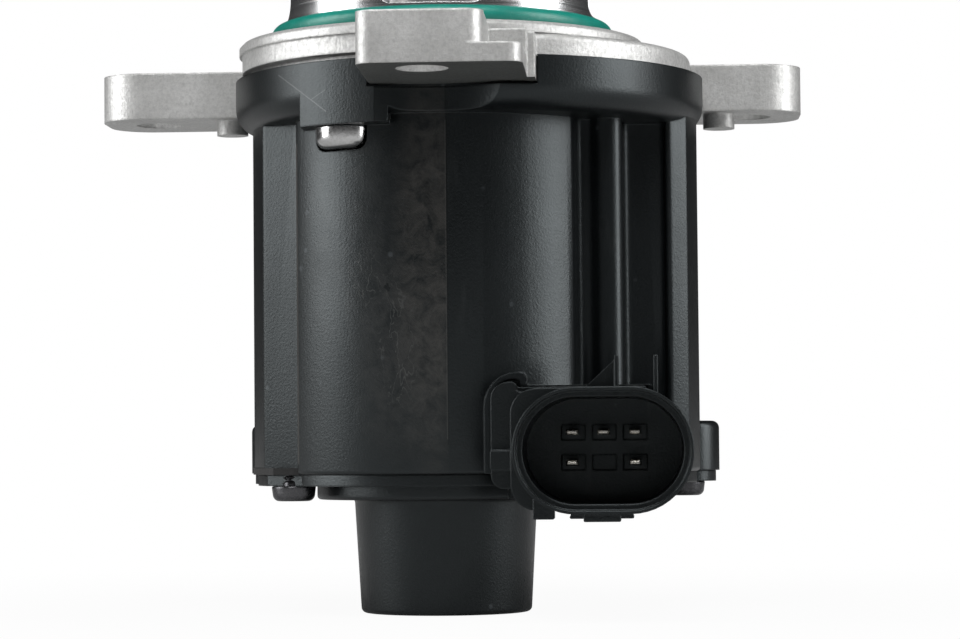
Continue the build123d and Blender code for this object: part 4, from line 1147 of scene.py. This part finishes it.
stageLook = {
    "floorHalf": 6.0,
    "floorColour": (0.50, 0.50, 0.50),
    "floorCloud": (0.53, 0.53, 0.53),
    "floorWhite": (0.05, 0.16, 0.95, 1.0),
    "worldLight": 0.04,
    "worldSeen": 1.0,
}


def floorFinish():
    # Almost white to the camera near the object and white further out; a plain surface to all other rays
    finish, tree, coat, where = startFinish("studioFloor")
    setSockets(coat, rough=0.8, gloss=0.2)
    colour = between(tree, grain(tree, where, 3.0), stageLook["floorColour"], stageLook["floorCloud"])
    tree.links.new(colour, coat.inputs["Base Color"])
    glow = tree.nodes.new("ShaderNodeEmission")
    glow.inputs["Strength"].default_value = 1.0
    rays = tree.nodes.new("ShaderNodeLightPath")
    seen = rays.outputs["Is Camera Ray"]
    mix = tree.nodes.new("ShaderNodeMixShader")
    far = ramp(tree, lengthOf(tree, stretched(tree, where, (1.0, 1.0, 0.0))), *stageLook["floorWhite"])
    tree.links.new(product(tree, seen, far), mix.inputs[0])
    tree.links.new(coat.outputs["BSDF"], mix.inputs[1])
    tree.links.new(glow.outputs["Emission"], mix.inputs[2])
    out = next(n for n in tree.nodes if n.type == "OUTPUT_MATERIAL")
    tree.links.new(mix.outputs["Shader"], out.inputs["Surface"])
    return finish


stageSheet("studioFloor", stageLook["floorHalf"], cadLow.z, floorFinish())

world = bpy.data.worlds.new("studioWorld")
world.use_nodes = True
bpy.context.scene.world = world
sky = world.node_tree
for old in list(sky.nodes):
    sky.nodes.remove(old)
skyOut = sky.nodes.new("ShaderNodeOutputWorld")
skyRays = sky.nodes.new("ShaderNodeLightPath")
plain, white = [sky.nodes.new("ShaderNodeBackground") for kind in range(2)]
for background, strength in ((plain, stageLook["worldLight"]), (white, stageLook["worldSeen"])):
    background.inputs["Strength"].default_value = strength
    background.inputs["Color"].default_value = (1, 1, 1, 1)
skyMix = sky.nodes.new("ShaderNodeMixShader")
sky.links.new(skyRays.outputs["Is Camera Ray"], skyMix.inputs[0])
sky.links.new(plain.outputs["Background"], skyMix.inputs[1])
sky.links.new(white.outputs["Background"], skyMix.inputs[2])
sky.links.new(skyMix.outputs["Shader"], skyOut.inputs["Surface"])

# Each lamp: place and target in metres, size, power in watts
lamps = {
    "leftSoftbox": ((-0.80, -0.16, 0.12), (0.0, 0.0, -0.03), (0.45, 0.9), 7.6),
    "rightSoftbox": ((0.80, -0.14, 0.15), (0.0, 0.0, -0.03), (0.40, 0.9), 7.2),
    "topSoftbox": ((0.0, -0.42, 0.68), (0.0, 0.0, -0.02), (0.6, 0.5), 6.6),
}
for lampName, (spot, aim, size, watts) in lamps.items():
    lamp = bpy.data.lights.new(lampName, "AREA")
    lamp.shape = "RECTANGLE"
    lamp.size, lamp.size_y = size
    lamp.energy = watts
    stand = placed(lampName, lamp)
    stand.location = spot
    stand.rotation_euler = (Vector(aim) - Vector(spot)).to_track_quat("-Z", "Y").to_euler()

cameraLook = {
    "spot": (0.0260, -0.4042, -0.0534),
    "side": math.radians(3.0),
    "rise": math.radians(2.5),
    "roll": math.radians(0.5),
    "lens": 111.9,
    "sensor": 36.0,
}


def setCamera(look):
    ahead = Vector((-math.sin(look["side"]), math.cos(look["side"]), 0.0))
    right = Vector((math.cos(look["side"]), math.sin(look["side"]), 0.0))
    ahead = (ahead * math.cos(look["rise"]) + Vector((0, 0, 1)) * math.sin(look["rise"])).normalized()
    up = right.cross(ahead)
    tiltedRight = right * math.cos(look["roll"]) - up * math.sin(look["roll"])
    tiltedUp = up * math.cos(look["roll"]) + right * math.sin(look["roll"])
    eye = bpy.data.cameras.new("photoCamera")
    eye.lens = look["lens"]
    eye.sensor_width = look["sensor"]
    holder = placed("photoCamera", eye)
    turn = Matrix((tiltedRight, tiltedUp, -ahead)).transposed().to_4x4()
    holder.matrix_world = Matrix.Translation(look["spot"]) @ turn
    bpy.context.scene.camera = holder


setCamera(cameraLook)
bpy.context.scene.view_settings.view_transform = "Standard"

bpy.context.view_layer.update()
print("stage, lamps and camera are in place")
